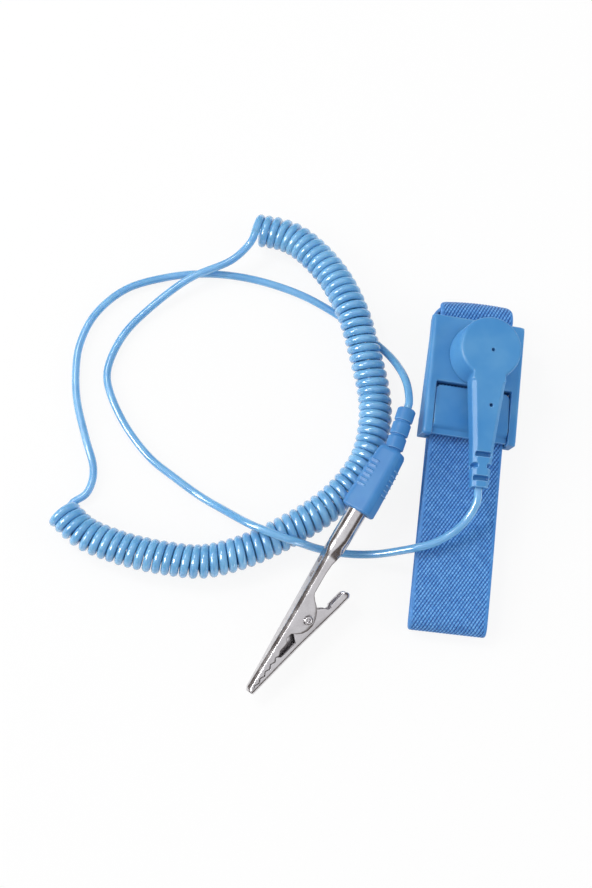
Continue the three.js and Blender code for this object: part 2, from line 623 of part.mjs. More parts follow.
function headShell() {
  const [r, e] = [HEAD_TOP_RADIUS, HEAD_EDGE];
  const rounding = [15, 45, 75].map(rad).map((a) =>
    [r - e + e * Math.cos(a), CAP_TOP - e + e * Math.sin(a)]);
  const cap = turned([[0, CAP_FOOT], [HEAD_RADIUS, CAP_FOOT], [r, CAP_TOP - e], ...rounding, [r - e, CAP_TOP], [0, CAP_TOP]]);
  const neck = solid(skin([
    neckRing(NECK_ROOT, NECK_WIDTHS[0], NECK_TOP),
    neckRing(NECK_TAPER_END, NECK_WIDTHS[1], NECK_TOP - NECK_DROP / 2),
    neckRing(NECK_END, NECK_WIDTHS[2], NECK_END_TOP),
  ]));
  const baseSeat = rod(HEAD_RADIUS - HEAD_WALL, CAP_FOOT - PAST, BASE_TOP + CLEARANCE, ROUND);
  const socketSeat = rod(SOCKET_RIM_RADIUS + CLEARANCE, CAP_FOOT - PAST, SOCKET_TOP + CLEARANCE, ROUND);
  const tailHalf = TAIL_WIDTH / 2 + CLEARANCE;
  const tailSeat = box([-tailHalf, tailHalf], [-TAIL_END - CLEARANCE, -SOCKET_RADIUS], [CAP_FOOT - PAST, TAIL_TOP + CLEARANCE]);
  const roomHalf = RESISTOR_RADIUS + CLEARANCE;
  const room = box([-roomHalf, roomHalf], [-RESISTOR_BACK - PAST, -SOCKET_RADIUS], [NECK_FOOT, CORD_LEVEL + roomHalf]);
  const wireBore = alongY(rod(WIRE_RADIUS + CLEARANCE, RESISTOR_BACK, NECK_END + PAST)).translate(0, 0, CORD_LEVEL);
  return cut(join(cap, neck), baseSeat, socketSeat, tailSeat, room, wireBore, ...reliefSlots());
}

function reliefSlots() {
  const slot = (along, x, z) => box(x, [-along - RELIEF_SLOT_LENGTH / 2, -along + RELIEF_SLOT_LENGTH / 2], z);
  const across = [-RELIEF_SLOT_WIDTH / 2, RELIEF_SLOT_WIDTH / 2];
  const side = NECK_WIDTHS[2] / 2;
  const heights = [CORD_LEVEL - across[1] + RELIEF_SLOT_DEPTH / 2, NECK_TOP + PAST];
  return [
    ...RELIEF_SLOTS.map((a) => slot(a, across, [reliefTop(a) - RELIEF_SLOT_DEPTH, NECK_TOP + PAST])),
    ...RELIEF_SLOTS.map((a) => slot(a, across, [NECK_FOOT - PAST, NECK_FOOT + RELIEF_SLOT_DEPTH])),
    slot(RELIEF_SIDE_SLOT, [-side - PAST, -side + RELIEF_SLOT_DEPTH], heights),
    slot(RELIEF_SIDE_SLOT, [side - RELIEF_SLOT_DEPTH, side + PAST], heights),
  ];
}

function headBase() {
  const radius = HEAD_RADIUS - HEAD_WALL - CLEARANCE;
  const disc = rod(radius, CAP_FOOT, BASE_TOP, ROUND);
  const x = [-TAIL_WIDTH / 2, TAIL_WIDTH / 2];
  const riser = box(x, [-radius + CLEARANCE, -radius + CLEARANCE + RISER_LENGTH], [CAP_FOOT + CLEARANCE, TAIL_TOP]);
  const tail = box(x, [-TAIL_END, -radius + CLEARANCE + RISER_LENGTH], [NECK_FOOT, TAIL_TOP]);
  const hole = rod(STUD_FLANGE_RADIUS + CLEARANCE, CAP_FOOT - PAST, BASE_TOP + PAST, ROUND);
  return cut(join(disc, riser, tail), hole);
}

function snapSocket() {
  const inner = STUD_BALL_RADIUS + CLEARANCE;
  return turned([
    [SOCKET_GROOVE_RADIUS, SOCKET_FOOT], [SOCKET_RADIUS, SOCKET_FOOT], [SOCKET_RADIUS, RIM_FOOT],
    [SOCKET_RIM_RADIUS, RIM_FOOT], [SOCKET_RIM_RADIUS, RIM_FOOT + SOCKET_SHEET],
    [SOCKET_RADIUS, RIM_FOOT + SOCKET_SHEET], [SOCKET_RADIUS, SOCKET_TOP], [0, SOCKET_TOP],
    [0, SOCKET_TOP - SOCKET_SHEET], [inner, SOCKET_TOP - SOCKET_SHEET],
    [inner, SOCKET_FOOT + SOCKET_GROOVE_HEIGHT], [SOCKET_GROOVE_RADIUS, SOCKET_FOOT + SOCKET_GROOVE_HEIGHT],
  ]);
}

function socketRing() {
  const radius = STUD_NECK_RADIUS + CLEARANCE + RING_WIRE_RADIUS;
  const places = [...Array(SMALL_ROUND).keys()].map((i) => rad((RING_ARC * i) / (SMALL_ROUND - 1)));
  const level = SOCKET_FOOT + SOCKET_GROOVE_HEIGHT / 2;
  const points = places.map((a) => V(radius * Math.cos(a), radius * Math.sin(a), level));
  return solid(tube(points, RING_WIRE_RADIUS, 6, RING_WIRE_RADIUS * 3));
}

function resistor() {
  const [r, w, h, c] = [RESISTOR_RADIUS, RESISTOR_WAIST, RESISTOR_LENGTH / 2, RESISTOR_CAP];
  const body = turned([[0, -h], [r, -h], [r, c - h], [w, c - h], [w, h - c], [r, h - c], [r, h], [0, h]], SMALL_ROUND);
  return alongY(body).translate(0, -RESISTOR_ALONG, CORD_LEVEL);
}

const headWire = (from, to) => alongY(rod(WIRE_RADIUS, from, to, 8)).translate(0, 0, CORD_LEVEL);

// ---- Plug and clip ---------------------------------------------------------------------------

/** A group whose +X runs from the boot's open end to the clip's tip, rolled about that axis. */
function onClipAxis(roll) {
  const group = new THREE.Group();
  group.position.copy(CLIP_MOUTH);
  group.rotation.set(rad(roll), rad(CLIP_SLOPE), rad(CLIP_HEADING), "ZYX");
  group.updateMatrix();
  return group;
}

const plug = onClipAxis(BOOT_ROLL);
const clip = onClipAxis(CLIP_ROLL);

const RELIEF_LENGTH = COLLARS * COLLAR_PITCH;

/** The strain relief's frame: +Z runs from the boot's back towards the cord. */
const reliefFrame = new THREE.Matrix4()
  .makeTranslation(-BOOT_LENGTH, 0, 0)
  .multiply(new THREE.Matrix4().makeRotationZ(rad(COLLAR_BEND)))
  .multiply(new THREE.Matrix4().makeRotationY(-Math.PI / 2));

function plugBoot() {
  const outline = roundedRectangle(BOOT_THICKNESS, BOOT_WIDTH, BOOT_CORNER);
  const body = alongX(raised(outline, -BOOT_LENGTH, 0, BUCKLE_EDGE));
  const ribs = [...Array(GRIP_RIBS).keys()].map((i) => {
    const start = -GRIP_START - i * GRIP_RIB_PITCH;
    const [y, z] = [BOOT_WIDTH / 2 + GRIP_RIB_HEIGHT, BOOT_THICKNESS / 2 - BOOT_CORNER];
    return box([start - GRIP_RIB_WIDTH, start], [-y, y], [-z, z]);
  });
  const profile = [[0, -COLLAR_CORE_RADIUS], [COLLAR_CORE_RADIUS, -COLLAR_CORE_RADIUS]];
  for (let i = 0; i < COLLARS; i++) {
    const from = (i + 1) * COLLAR_PITCH - COLLAR_LENGTH;
    const to = (i + 1) * COLLAR_PITCH;
    profile.push([COLLAR_CORE_RADIUS, from], [COLLAR_RADIUS, from]);
    profile.push([COLLAR_RADIUS, to - COLLAR_EDGE], [COLLAR_RADIUS - COLLAR_EDGE, to]);
    if (i + 1 < COLLARS) profile.push([COLLAR_CORE_RADIUS, to]);
  }
  profile.push([0, RELIEF_LENGTH]);
  const relief = turned(profile, SMALL_ROUND).transform(reliefFrame.toArray());
  const shroud = alongX(rod(BARREL_OUTER_RADIUS + CLEARANCE, -SHROUD_DEPTH, PAST, ROUND));
  const coreBore = alongX(rod(CORE_RADIUS + CLEARANCE, -CORE_BACK - CLEARANCE, PAST));
  const wireBore = rod(WIRE_RADIUS + CLEARANCE, -PAST, RELIEF_LENGTH + PAST, 8).transform(reliefFrame.toArray());
  const backBore = alongX(rod(WIRE_RADIUS + CLEARANCE, -BOOT_LENGTH - CLEARANCE, -CORE_BACK, 8));
  return cut(join(body, ...ribs, relief), shroud, coreBore, backBore, wireBore);
}

function plugWire() {
  const points = [
    V(-CORE_BACK - CLEARANCE, 0, 0),
    V(-(CORE_BACK + BOOT_LENGTH) / 2, 0, 0),
    V(0, 0, 0).applyMatrix4(reliefFrame),
    V(0, 0, RELIEF_LENGTH / 2).applyMatrix4(reliefFrame),
    V(0, 0, RELIEF_LENGTH).applyMatrix4(reliefFrame),
  ];
  return solid(tube(points, WIRE_RADIUS, 6, CORD_STEP / 2));
}

function plugPin() {
  const tip = CORE_FRONT - CORE_TIP_LENGTH;
  return alongX(turned([
    [0, -CORE_BACK], [CORE_RADIUS, -CORE_BACK], [CORE_RADIUS, tip], [CORE_TIP_RADIUS, tip],
    [CORE_TIP_RADIUS, CORE_FRONT - COLLAR_EDGE], [CORE_RADIUS, CORE_FRONT], [0, CORE_FRONT],
  ], SMALL_ROUND));
}

function pinLeaves() {
  const front = CORE_FRONT - CORE_TIP_LENGTH - CLEARANCE;
  const inner = LEAF_RADIUS - LEAF_WALL;
  const sleeve = turned([[inner, -LEAF_BACK], [LEAF_RADIUS, -LEAF_BACK], [LEAF_RADIUS, front], [inner, front]]);
  const middle = (front - LEAF_BACK) / 2;
  const slots = [...Array(LEAF_SLOTS).keys()].map((i) =>
    box([-LEAF_RADIUS - PAST, LEAF_RADIUS + PAST], [-LEAF_SLOT_WIDTH / 2, LEAF_SLOT_WIDTH / 2],
      [middle - LEAF_SLOT_LENGTH / 2, middle + LEAF_SLOT_LENGTH / 2]).rotate(0, 0, (180 * i) / LEAF_SLOTS));
  return alongX(cut(sleeve, ...slots));
}

// The jaws' outlines are [along, across] from the middle of the boot's open end.
const PIVOT = [PIVOT_ALONG, PIVOT_ACROSS];
const TIP_MEETING = -0.5; // where the teeth meet at the tip, across
const TEETH_MEETING = 0.5; // and at the teeth's inner end
const TIP_BACK = 0.9; // where the moving jaw's back ends at the tip, across
const TOOTH_ROOT = 0.1;

/** The toothed edge between the jaws, from the tip inwards, moved across by an offset. */
function toothEdge(offset) {
  const points = [];
  for (let i = 0; i <= 2 * TEETH; i++) {
    const share = i / (2 * TEETH);
    const along = CLIP_LENGTH + (TEETH_FROM - CLIP_LENGTH) * share;
    const across = TIP_MEETING + (TEETH_MEETING - TIP_MEETING) * share;
    points.push([along, across + offset + (i % 2 ? TOOTH_HEIGHT : 0)]);
  }
  return points;
}

/** The sheet's outer width at a place along the clip, less a wall on each side. */
function channelOutline(widths, inset) {
  const right = widths.map(([u, w]) => [u, w / 2 - inset]);
  return [...right, ...right.map(([u, w]) => [u, -w]).reverse()];
}

/** A channel folded from sheet: a side outline with a back, open on the teeth's side. */
function channel(side, hollow, widths) {
  const height = 20; // more than the widest sheet
  const turnUp = (shape) => shape.rotate(90, 0, 0);
  const prism = (outline) => raised(outline, -height, height);
  const plan = (inset) => turnUp(prism(channelOutline(widths, inset)));
  return cut(prism(side).intersect(plan(0)), prism(hollow).intersect(plan(SHEET)));
}

const FIXED_WIDTHS = [
  [CHANNEL_START, 2 * BARREL_OUTER_RADIUS], [SHOULDER, SHOULDER_WIDTH],
  [PIVOT_ALONG + EAR_REACH, PIVOT_WIDTH], [CLIP_LENGTH, TIP_WIDTH],
];
const MOVING_PIVOT_WIDTH = PIVOT_WIDTH - 2 * (SHEET + CLEARANCE);
const THUMB_ALONG = 18.2;
const MOVING_WIDTHS = [
  [THUMB_ALONG - PAST, MOVING_PIVOT_WIDTH], [PIVOT_ALONG + EAR_REACH + 2, MOVING_PIVOT_WIDTH],
  [TEETH_FROM, TIP_WIDTH + SHEET], [CLIP_LENGTH, TIP_WIDTH],
];

const jawPinHole = () => rod(JAW_RIVET_RADIUS + CLEARANCE, -PIVOT_WIDTH, PIVOT_WIDTH).translate(...PIVOT, 0);

function fixedJaw() {
  const ear = [
    [33.8, 0.8], [33.4, 1.9], [32.4, 3.1], [31.2, 3.9], [29.7, 4.3], [28.4, 4.25], [27.2, 3.9], [25, 2.6],
    [24.1, 1.6], [23.1, 0.75],
  ];
  const side = [
    [CHANNEL_START, -2.3], [SHOULDER, -2], [PIVOT_ALONG, -1.6], [CLIP_LENGTH - 1, -1.3], [CLIP_LENGTH, -0.8],
    ...toothEdge(0), [39.9, 1.1], [38.7, 0.7], [36.3, 1.2], [35.4, 0.35], ...ear,
    [22.5, 0.5], [17, 0.4], [14.5, 0.6], [12, 1.3], [CHANNEL_START, 2.2],
  ];
  const hollow = [
    [CHANNEL_START - PAST, SHEET - 2.3], [SHOULDER, SHEET - 2], [PIVOT_ALONG, SHEET - 1.6],
    [CLIP_LENGTH - 1 - SHEET, SHEET - 1.3], [CLIP_LENGTH - 1 - SHEET, 20], [CHANNEL_START - PAST, 20],
  ];
  const barrel = alongX(rod(BARREL_OUTER_RADIUS, -BARREL_BACK, BARREL_FRONT, ROUND));
  const bore = alongX(rod(BARREL_INNER_RADIUS, -BARREL_BACK - PAST, BARREL_FRONT + PAST, ROUND));
  const slots = BACK_SLOTS.map((u) =>
    box([u, u + BACK_SLOT_LENGTH], [-3, -1], [-BACK_SLOT_WIDTH / 2, BACK_SLOT_WIDTH / 2]));
  const sheet = join(channel(side, hollow, FIXED_WIDTHS), barrel);
  return cut(sheet, bore, jawPinHole(), ...slots);
}

function movingJaw() {
  const spine = [[19, 9.3], [22.6, 8.4], [35.7, 4.65], [CLIP_LENGTH, TIP_BACK]];
  const side = [
    ...toothEdge(JAW_GAP), [40, 1.9], [35.2, 3.2], [33.4, 1.5], [31, 0.9], [29, 0.6], [27.2, 1.2],
    [25.2, 4.1], [24.2, 4.6], [24.2, 5.6], [23, 6.2], [21, 6.7], [18.8, 7.3], [THUMB_ALONG, 8.4], ...spine,
  ];
  const hollow = [
    [THUMB_ALONG + SHEET, -2], ...spine.map(([u, v]) => [u + SHEET, v - SHEET]).slice(0, 3),
    [CLIP_LENGTH - SHEET, TIP_BACK + TOOTH_ROOT - SHEET], [CLIP_LENGTH - SHEET, -2],
  ];
  const thumbHole = alongY(rod(THUMB_HOLE_RADIUS, -12, -6)).translate(21.8, 0, 0);
  return cut(channel(side, hollow, MOVING_WIDTHS), jawPinHole(), thumbHole);
}

function jawRivet() {
  const under = PIVOT_WIDTH / 2 + CLEARANCE;
  const end = under + JAW_RIVET_HEAD_THICKNESS;
  const [r, h] = [JAW_RIVET_RADIUS, JAW_RIVET_HEAD_RADIUS];
  return turned([
    [0, -end], [h, -end], [h, -under], [r, -under], [r, under], [h, under], [h, end], [0, end],
  ], SMALL_ROUND).translate(...PIVOT, 0);
}

function springRings() {
  const reach = (SPRING_TURNS * SPRING_PITCH) / 2;
  const axis = new THREE.LineCurve3(V(...PIVOT, -reach), V(...PIVOT, reach));
  return wireRings(withStraightEnds(helix(axis, SPRING_RADIUS, SPRING_TURNS, 0, 1, V(0, 1, 0)), SPRING_LEG), SPRING_WIRE_RADIUS, 0);
}

// ---- Cord ------------------------------------------------------------------------------------

const coilAxis = new THREE.CatmullRomCurve3(COIL_AXIS, false, "centripetal");
const coilWire = withStraightEnds(
  helix(coilAxis, CURL_RADIUS, CURL_TURNS, 0, -1, V(0, 0, 1)), CURL_END);
const coilRings = wireRings(coilWire, CORD_RADIUS, CURL_GAP);

/** Where a lead starts at an end of the coil: past the gap, and a little further on. */
function coilExit(end, inner) {
  const out = end.clone().sub(inner).normalize();
  return [CLEARANCE, 2 * CORD_RADIUS].map((far) => end.clone().addScaledVector(out, far));
}

/** Two points on the way out of a gland, in its frame: the gap's far side, and further on. */
const glandExit = (frame, at, out) =>
  [CLEARANCE, 2 * CORD_RADIUS].map((far) => at.clone().addScaledVector(out, far).applyMatrix4(frame));

const lead = (points) => solid(tube(points, CORD_RADIUS, CORD_SIDES, CORD_STEP));

// ---- Assembly --------------------------------------------------------------------------------

const strap = new THREE.Group();
strap.add(wrist, plug, clip);

wrist.add(piece("wrist_band", wristBand(), WEBBING));
buckle.add(
  piece("buckle_frame", buckleFrame(), MOULDING),
  piece("clasp_lever", claspLever(), MOULDING),
  piece("clasp_pin", claspPin(), SPRING_STEEL),
  piece("skin_plate", skinPlate(), STAINLESS),
  piece("stud_rivet", studRivet(), STAINLESS),
  piece("snap_stud", snapStud(), NICKEL),
);
head.add(
  piece("head_shell", headShell(), MOULDING),
  piece("head_base", headBase(), MOULDING),
  piece("snap_socket", snapSocket(), NICKEL),
  piece("socket_ring", socketRing(), SPRING_STEEL),
  piece("resistor", resistor(), CERAMIC),
  piece("resistor_lead_front", headWire(SOCKET_RADIUS + CLEARANCE, RESISTOR_FRONT - CLEARANCE), COPPER),
  piece("resistor_lead_back", headWire(RESISTOR_BACK + CLEARANCE, NECK_END), COPPER),
);
plug.add(
  piece("plug_boot", plugBoot(), MOULDING),
  piece("plug_wire", plugWire(), COPPER),
  piece("plug_pin", plugPin(), NICKEL),
  piece("pin_leaves", pinLeaves(), SPRING_STEEL),
);
clip.add(
  piece("clip_fixed_jaw", fixedJaw(), NICKEL),
  piece("clip_moving_jaw", movingJaw(), NICKEL),
  piece("jaw_rivet", jawRivet(), NICKEL),
  piece("jaw_spring", solid(skin(springRings())), SPRING_STEEL),
);
strap.updateMatrixWorld(true);

const wireEnds = coilWire.points;
const headEnd = glandExit(head.matrixWorld, V(0, -NECK_END, CORD_LEVEL), V(0, -1, 0));
const bootEnd = glandExit(plug.matrixWorld.clone().multiply(reliefFrame), V(0, 0, RELIEF_LENGTH), V(0, 0, 1));
const wristStart = coilExit(wireEnds[0], wireEnds[1]);
const clipStart = coilExit(wireEnds.at(-1), wireEnds.at(-2));
strap.add(
  piece("cord_wrist_lead", lead([...wristStart, ...WRIST_LEAD, ...headEnd.reverse()]), CORD_JACKET),
  piece("cord_coil", solid(skin(coilRings)), CORD_JACKET),
  piece("cord_clip_lead", lead([...clipStart, ...CLIP_LEAD, ...bootEnd.reverse()]), CORD_JACKET),
);

console.log("cord_coil: least gap to itself", leastGap(coilRings).toFixed(2), "mm");
console.log("jaw_spring: least gap to itself", leastGap(springRings()).toFixed(2), "mm");

export default strap;
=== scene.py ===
"""Looks of a wrist strap with a curly grounding cord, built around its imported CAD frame.

Sizes and places are in millimetres, in the CAD frame, unless a name says otherwise.
Each piece is modelled in its sub-assembly's own frame and brought to metres at the end.
"""

import json
import logging
import math
from collections.abc import Callable, Sequence
from dataclasses import dataclass
from enum import Enum
from typing import Any

import bmesh
import bpy
import numpy as np
from mathutils import Matrix, Vector

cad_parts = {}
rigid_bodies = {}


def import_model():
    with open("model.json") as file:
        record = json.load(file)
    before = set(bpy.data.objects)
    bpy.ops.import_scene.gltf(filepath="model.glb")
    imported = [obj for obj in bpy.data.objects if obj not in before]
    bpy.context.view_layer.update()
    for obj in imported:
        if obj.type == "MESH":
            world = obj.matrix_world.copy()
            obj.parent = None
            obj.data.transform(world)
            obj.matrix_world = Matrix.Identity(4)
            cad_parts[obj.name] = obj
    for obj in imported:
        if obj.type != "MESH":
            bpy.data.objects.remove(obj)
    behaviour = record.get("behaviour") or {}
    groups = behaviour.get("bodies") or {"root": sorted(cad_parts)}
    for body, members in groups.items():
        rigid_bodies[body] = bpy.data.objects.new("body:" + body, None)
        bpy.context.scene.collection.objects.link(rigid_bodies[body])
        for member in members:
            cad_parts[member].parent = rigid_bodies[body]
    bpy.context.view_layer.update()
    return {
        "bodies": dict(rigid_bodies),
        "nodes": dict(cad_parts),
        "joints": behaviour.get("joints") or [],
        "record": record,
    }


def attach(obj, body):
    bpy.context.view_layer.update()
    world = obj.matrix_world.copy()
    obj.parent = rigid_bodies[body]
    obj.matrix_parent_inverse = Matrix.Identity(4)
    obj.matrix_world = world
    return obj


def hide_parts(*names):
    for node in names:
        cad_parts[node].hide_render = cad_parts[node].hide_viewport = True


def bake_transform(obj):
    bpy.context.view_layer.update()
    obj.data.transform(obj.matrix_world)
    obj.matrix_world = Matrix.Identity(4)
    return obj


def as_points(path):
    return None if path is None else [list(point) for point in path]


LOG = logging.getLogger("wrist_strap")
MM = 0.001
UP = Vector((0, 0, 1))

Colour = tuple[float, float, float]
Point = tuple[float, float, float]
Span = tuple[float, float]


class Body(Enum):
    """The moving bodies of the strap."""

    STRAP = "strap"
    CLASP = "clasp"
    SNAP = "snap"
    SLEEVE = "sleeve"
    CLIP = "clip"
    JAW = "jaw"


class Slot(Enum):
    """The material slots of the record."""

    WEBBING = "webbing"
    MOULDING = "moulding"
    JACKET = "cord_jacket"
    STAINLESS = "stainless"
    NICKEL = "nickel"
    SPRING_STEEL = "spring_steel"
    CERAMIC = "ceramic"
    COPPER = "copper"


# ---- Shaders ---------------------------------------------------------------------------------


class Value:
    """A node's output socket that takes part in arithmetic."""

    def __init__(self, graph: "Graph", socket: bpy.types.NodeSocket) -> None:
        """Wrap a socket of a graph."""
        self.graph = graph
        self.socket = socket

    def _with(self, operation: str, first: Any, second: Any) -> "Value":
        """Add a Math node on two operands."""
        return self.graph.node("ShaderNodeMath", {"operation": operation}, {0: first, 1: second})

    def __add__(self, other: Any) -> "Value":
        """Add."""
        return self._with("ADD", self, other)

    def __sub__(self, other: Any) -> "Value":
        """Subtract."""
        return self._with("SUBTRACT", self, other)

    def __rsub__(self, other: Any) -> "Value":
        """Subtract this from a number."""
        return self._with("SUBTRACT", other, self)

    def __mul__(self, other: Any) -> "Value":
        """Multiply."""
        return self._with("MULTIPLY", self, other)

    def __pow__(self, other: Any) -> "Value":
        """Raise to a power."""
        return self._with("POWER", self, other)

    def __abs__(self) -> "Value":
        """Drop the sign."""
        return self._with("ABSOLUTE", self, 0.0)

    __radd__ = __add__
    __rmul__ = __mul__


class Graph:
    """A material's node tree, with one method that adds any node."""

    def __init__(self, name: str) -> None:
        """Start an empty material."""
        self.material = bpy.data.materials.new(name)
        self.material.use_nodes = True
        self.tree = self.material.node_tree
        self.tree.nodes.clear()

    def node(self, kind: str, settings: dict[str, Any], inputs: dict[Any, Any], output: Any = 0) -> Value:
        """Add a node.

        Args:
            kind: The node's type.
            settings: Its properties. A ramp's stops are given as "stops".
            inputs: Values or links of its sockets, by name or number.
            output: The socket to return, by name or number.

        Returns:
            The output socket.
        """
        made = self.tree.nodes.new(kind)
        stops = settings.get("stops", ())
        for key, value in settings.items():
            if key != "stops":
                setattr(made, key, value)
        for place, colour in stops:
            if place in (stops[0][0], stops[-1][0]):
                stop = made.color_ramp.elements[0 if place == stops[0][0] else -1]
                stop.position = place
            else:
                stop = made.color_ramp.elements.new(place)
            stop.color = (*colour, 1.0)
        for key, value in inputs.items():
            socket = made.inputs[key]
            if isinstance(value, Value):
                self.tree.links.new(value.socket, socket)
            elif isinstance(value, tuple) and len(value) == 3 and socket.type == "RGBA":
                socket.default_value = (*value, 1.0)
            else:
                socket.default_value = value
        return Value(self, made.outputs[output])

    def object_place(self) -> Value:
        """The place on the piece, in metres."""
        return self.node("ShaderNodeTexCoord", {}, {}, "Object")

    def noise(self, place: Value, scale: float, detail: float = 2.0, rough: float = 0.5) -> Value:
        """A noise of a scale per metre."""
        settings = {"noise_dimensions": "3D"}
        inputs = {"Vector": place, "Scale": scale, "Detail": detail, "Roughness": rough}
        return self.node("ShaderNodeTexNoise", settings, inputs, "Fac")

    def between(self, value: Value, low: float, high: float, to: Span = (0.0, 1.0)) -> Value:
        """Map a range of a value to another, smoothly and clamped."""
        inputs = {"Value": value, "From Min": low, "From Max": high, "To Min": to[0], "To Max": to[1]}
        return self.node("ShaderNodeMapRange", {"interpolation_type": "SMOOTHSTEP"}, inputs)

    def mix(self, share: Any, first: Any, second: Any) -> Value:
        """Mix two colours."""
        settings = {"data_type": "RGBA", "clamp_factor": True}
        return self.node("ShaderNodeMix", settings, {"Factor": share, 6: first, 7: second}, 2)

    def bump(self, height: Value, depth: float, strength: float = 1.0, normal: Value | None = None) -> Value:
        """Bump of a depth in metres."""
        inputs: dict[str, Any] = {"Height": height, "Distance": depth, "Strength": strength}
        if normal is not None:
            inputs["Normal"] = normal
        return self.node("ShaderNodeBump", {}, inputs)

    def finish(self, inputs: dict[str, Any]) -> bpy.types.Material:
        """Close the material with a Principled shader.

        Args:
            inputs: Values or links of the shader's sockets.

        Returns:
            The material.
        """
        return self.end(self.node("ShaderNodeBsdfPrincipled", {}, inputs))

    def end(self, shader: Value) -> bpy.types.Material:
        """Send a shader to the material's output and return the material."""
        out = self.tree.nodes.new("ShaderNodeOutputMaterial")
        self.tree.links.new(shader.socket, out.inputs["Surface"])
        return self.material


# ---- Finishes --------------------------------------------------------------------------------


def colour(red: int, green: int, blue: int) -> Colour:
    """A colour as it looks on a screen, 0 to 255 a channel, as linear light."""
    shares = (value / 255 for value in (red, green, blue))
    return tuple(((s + 0.055) / 1.055) ** 2.4 if s > 0.04045 else s / 12.92 for s in shares)


@dataclass(frozen=True)
class Moulding:
    """Satin moulded plastic with a fine grain, faint flow marks and a painted highlight on its outward edges.
    """

    name: str = "moulding"
    light: Colour = colour(88, 154, 208)
    deep: Colour = colour(67, 140, 202)
    # rim: a painted highlight, mixed in where the edge attribute marks an outward edge
    rim: Colour = colour(160, 208, 244)  # where an edge catches the light
    roughness: Span = (0.36, 0.5)
    grain: float = 4200.0  # per metre
    grain_depth: float = 0.00003

    def material(self) -> bpy.types.Material:
        """Make the material."""
        g = Graph(self.name)
        place = g.object_place()
        cloud = g.noise(place, 90.0, 3.0)
        grain = g.noise(place, self.grain, 3.0, 0.6)
        tone = g.between(cloud, 0.3, 0.7)
        wear = g.between(grain, 0.35, 0.7, self.roughness)
        edge = g.node("ShaderNodeAttribute", {"attribute_name": "edge"}, {}, "Fac")
        base = g.mix(tone, self.deep, self.light)
        return g.finish({
            # Painted highlight: the rim colour is mixed in on outward edges
            "Base Color": g.mix(g.between(edge, 0.04, 0.25, (0.0, 0.8)), base, self.rim),
            "Roughness": wear,
            "Normal": g.bump(grain, self.grain_depth, 0.5),
            "Specular IOR Level": 0.34,
            "Subsurface Weight": 0.12,
            "Subsurface Radius": (0.0006, 0.0009, 0.0012),
            "Subsurface Scale": 1.0,
        })


@dataclass(frozen=True)
class Jacket:
    """Glossy cord jacket, faintly milky, with a skin that is not quite even."""

    name: str = "cord_jacket"
    light: Colour = colour(124, 184, 228)
    deep: Colour = colour(103, 167, 215)
    roughness: Span = (0.16, 0.28)

    def material(self) -> bpy.types.Material:
        """Make the material."""
        g = Graph(self.name)
        place = g.object_place()
        tone = g.between(g.noise(place, 130.0, 2.0), 0.3, 0.7)
        skin = g.noise(place, 1500.0, 2.0)
        return g.finish({
            "Base Color": g.mix(tone, self.deep, self.light),
            "Roughness": g.between(skin, 0.3, 0.7, self.roughness),
            "Normal": g.bump(skin, 0.00003, 0.4),
            "Coat Weight": 1.0,
            "Coat Roughness": 0.12,
            "Subsurface Weight": 0.5,
            "Subsurface Radius": (0.001, 0.0016, 0.002),
            "Subsurface Scale": 1.0,
        })


@dataclass(frozen=True)
class Webbing:
    """Elastic twill: raised slanting ribs of twisted yarn over a deeper ground, with painted shade in the
    grooves and a painted highlight on the crests.
    """

    name: str = "webbing"
    # The lightest colour is a painted highlight on the ribs' tops, the darkest is painted shade in the
    # grooves between them
    crest: Colour = colour(122, 186, 244)
    body: Colour = colour(62, 134, 207)
    groove_shade: Colour = colour(10, 70, 152)
    yarn: float = 0.00105  # between a rib's own yarn turns, in metres
    roughness: Span = (0.65, 0.85)

    def material(self) -> bpy.types.Material:
        """Make the material. It reads the rib's height and the place along the rib from the mesh."""
        g = Graph(self.name)
        rib = g.node("ShaderNodeAttribute", {"attribute_name": "rib"}, {}, "Fac")
        run = g.node("ShaderNodeAttribute", {"attribute_name": "run"}, {}, "Fac")
        weave = g.node("ShaderNodeAttribute", {"attribute_name": "weave"}, {}, "Fac")
        place = g.object_place()
        fuzz = g.noise(place, 2600.0, 3.0, 0.65)
        patch = g.noise(place, 650.0, 2.0)
        phase = (run + fuzz * 0.0004) * (2 * math.pi / self.yarn)
        turns = g.node("ShaderNodeMath", {"operation": "SINE"}, {0: phase})
        # Colour by height: painted shade low in the grooves and a painted highlight on the crests and yarn
        # turns, over random patches and fuzz
        height = rib + turns * weave * 0.13 + fuzz * 0.7 + (patch - 0.5) * 0.6
        low = g.mix(g.between(height, 0.5, 1.1), self.groove_shade, self.body)
        return g.finish({
            "Base Color": g.mix(g.between(height, 1.12, 1.6), low, self.crest),
            "Roughness": g.between(fuzz, 0.3, 0.7, self.roughness),
            "Normal": g.bump(turns * weave * 0.3 + fuzz, 0.00012, 0.7),
            "Sheen Weight": 0.25,
            "Sheen Roughness": 0.4,
        })


@dataclass(frozen=True)
class Plated:
    """Bright nickel plate, duller on flat pressed cheeks, with faint wipe marks."""

    name: str = "nickel"
    tint: Colour = colour(226, 224, 226)
    shade: Colour = colour(206, 203, 205)
    roughness: Span = (0.16, 0.26)
    mark_depth: float = 0.00002

    def material(self) -> bpy.types.Material:
        """Make the material."""
        g = Graph(self.name)
        place = g.object_place()
        cloud = g.noise(place, 260.0, 4.0, 0.6)
        fine = g.noise(place, 2200.0, 2.0)
        return g.finish({
            "Base Color": g.mix(g.between(cloud, 0.3, 0.72), self.shade, self.tint),
            "Metallic": 1.0,
            "Roughness": g.between(cloud, 0.3, 0.7, self.roughness),
            "Normal": g.bump(fine + cloud, self.mark_depth, 0.35),
        })


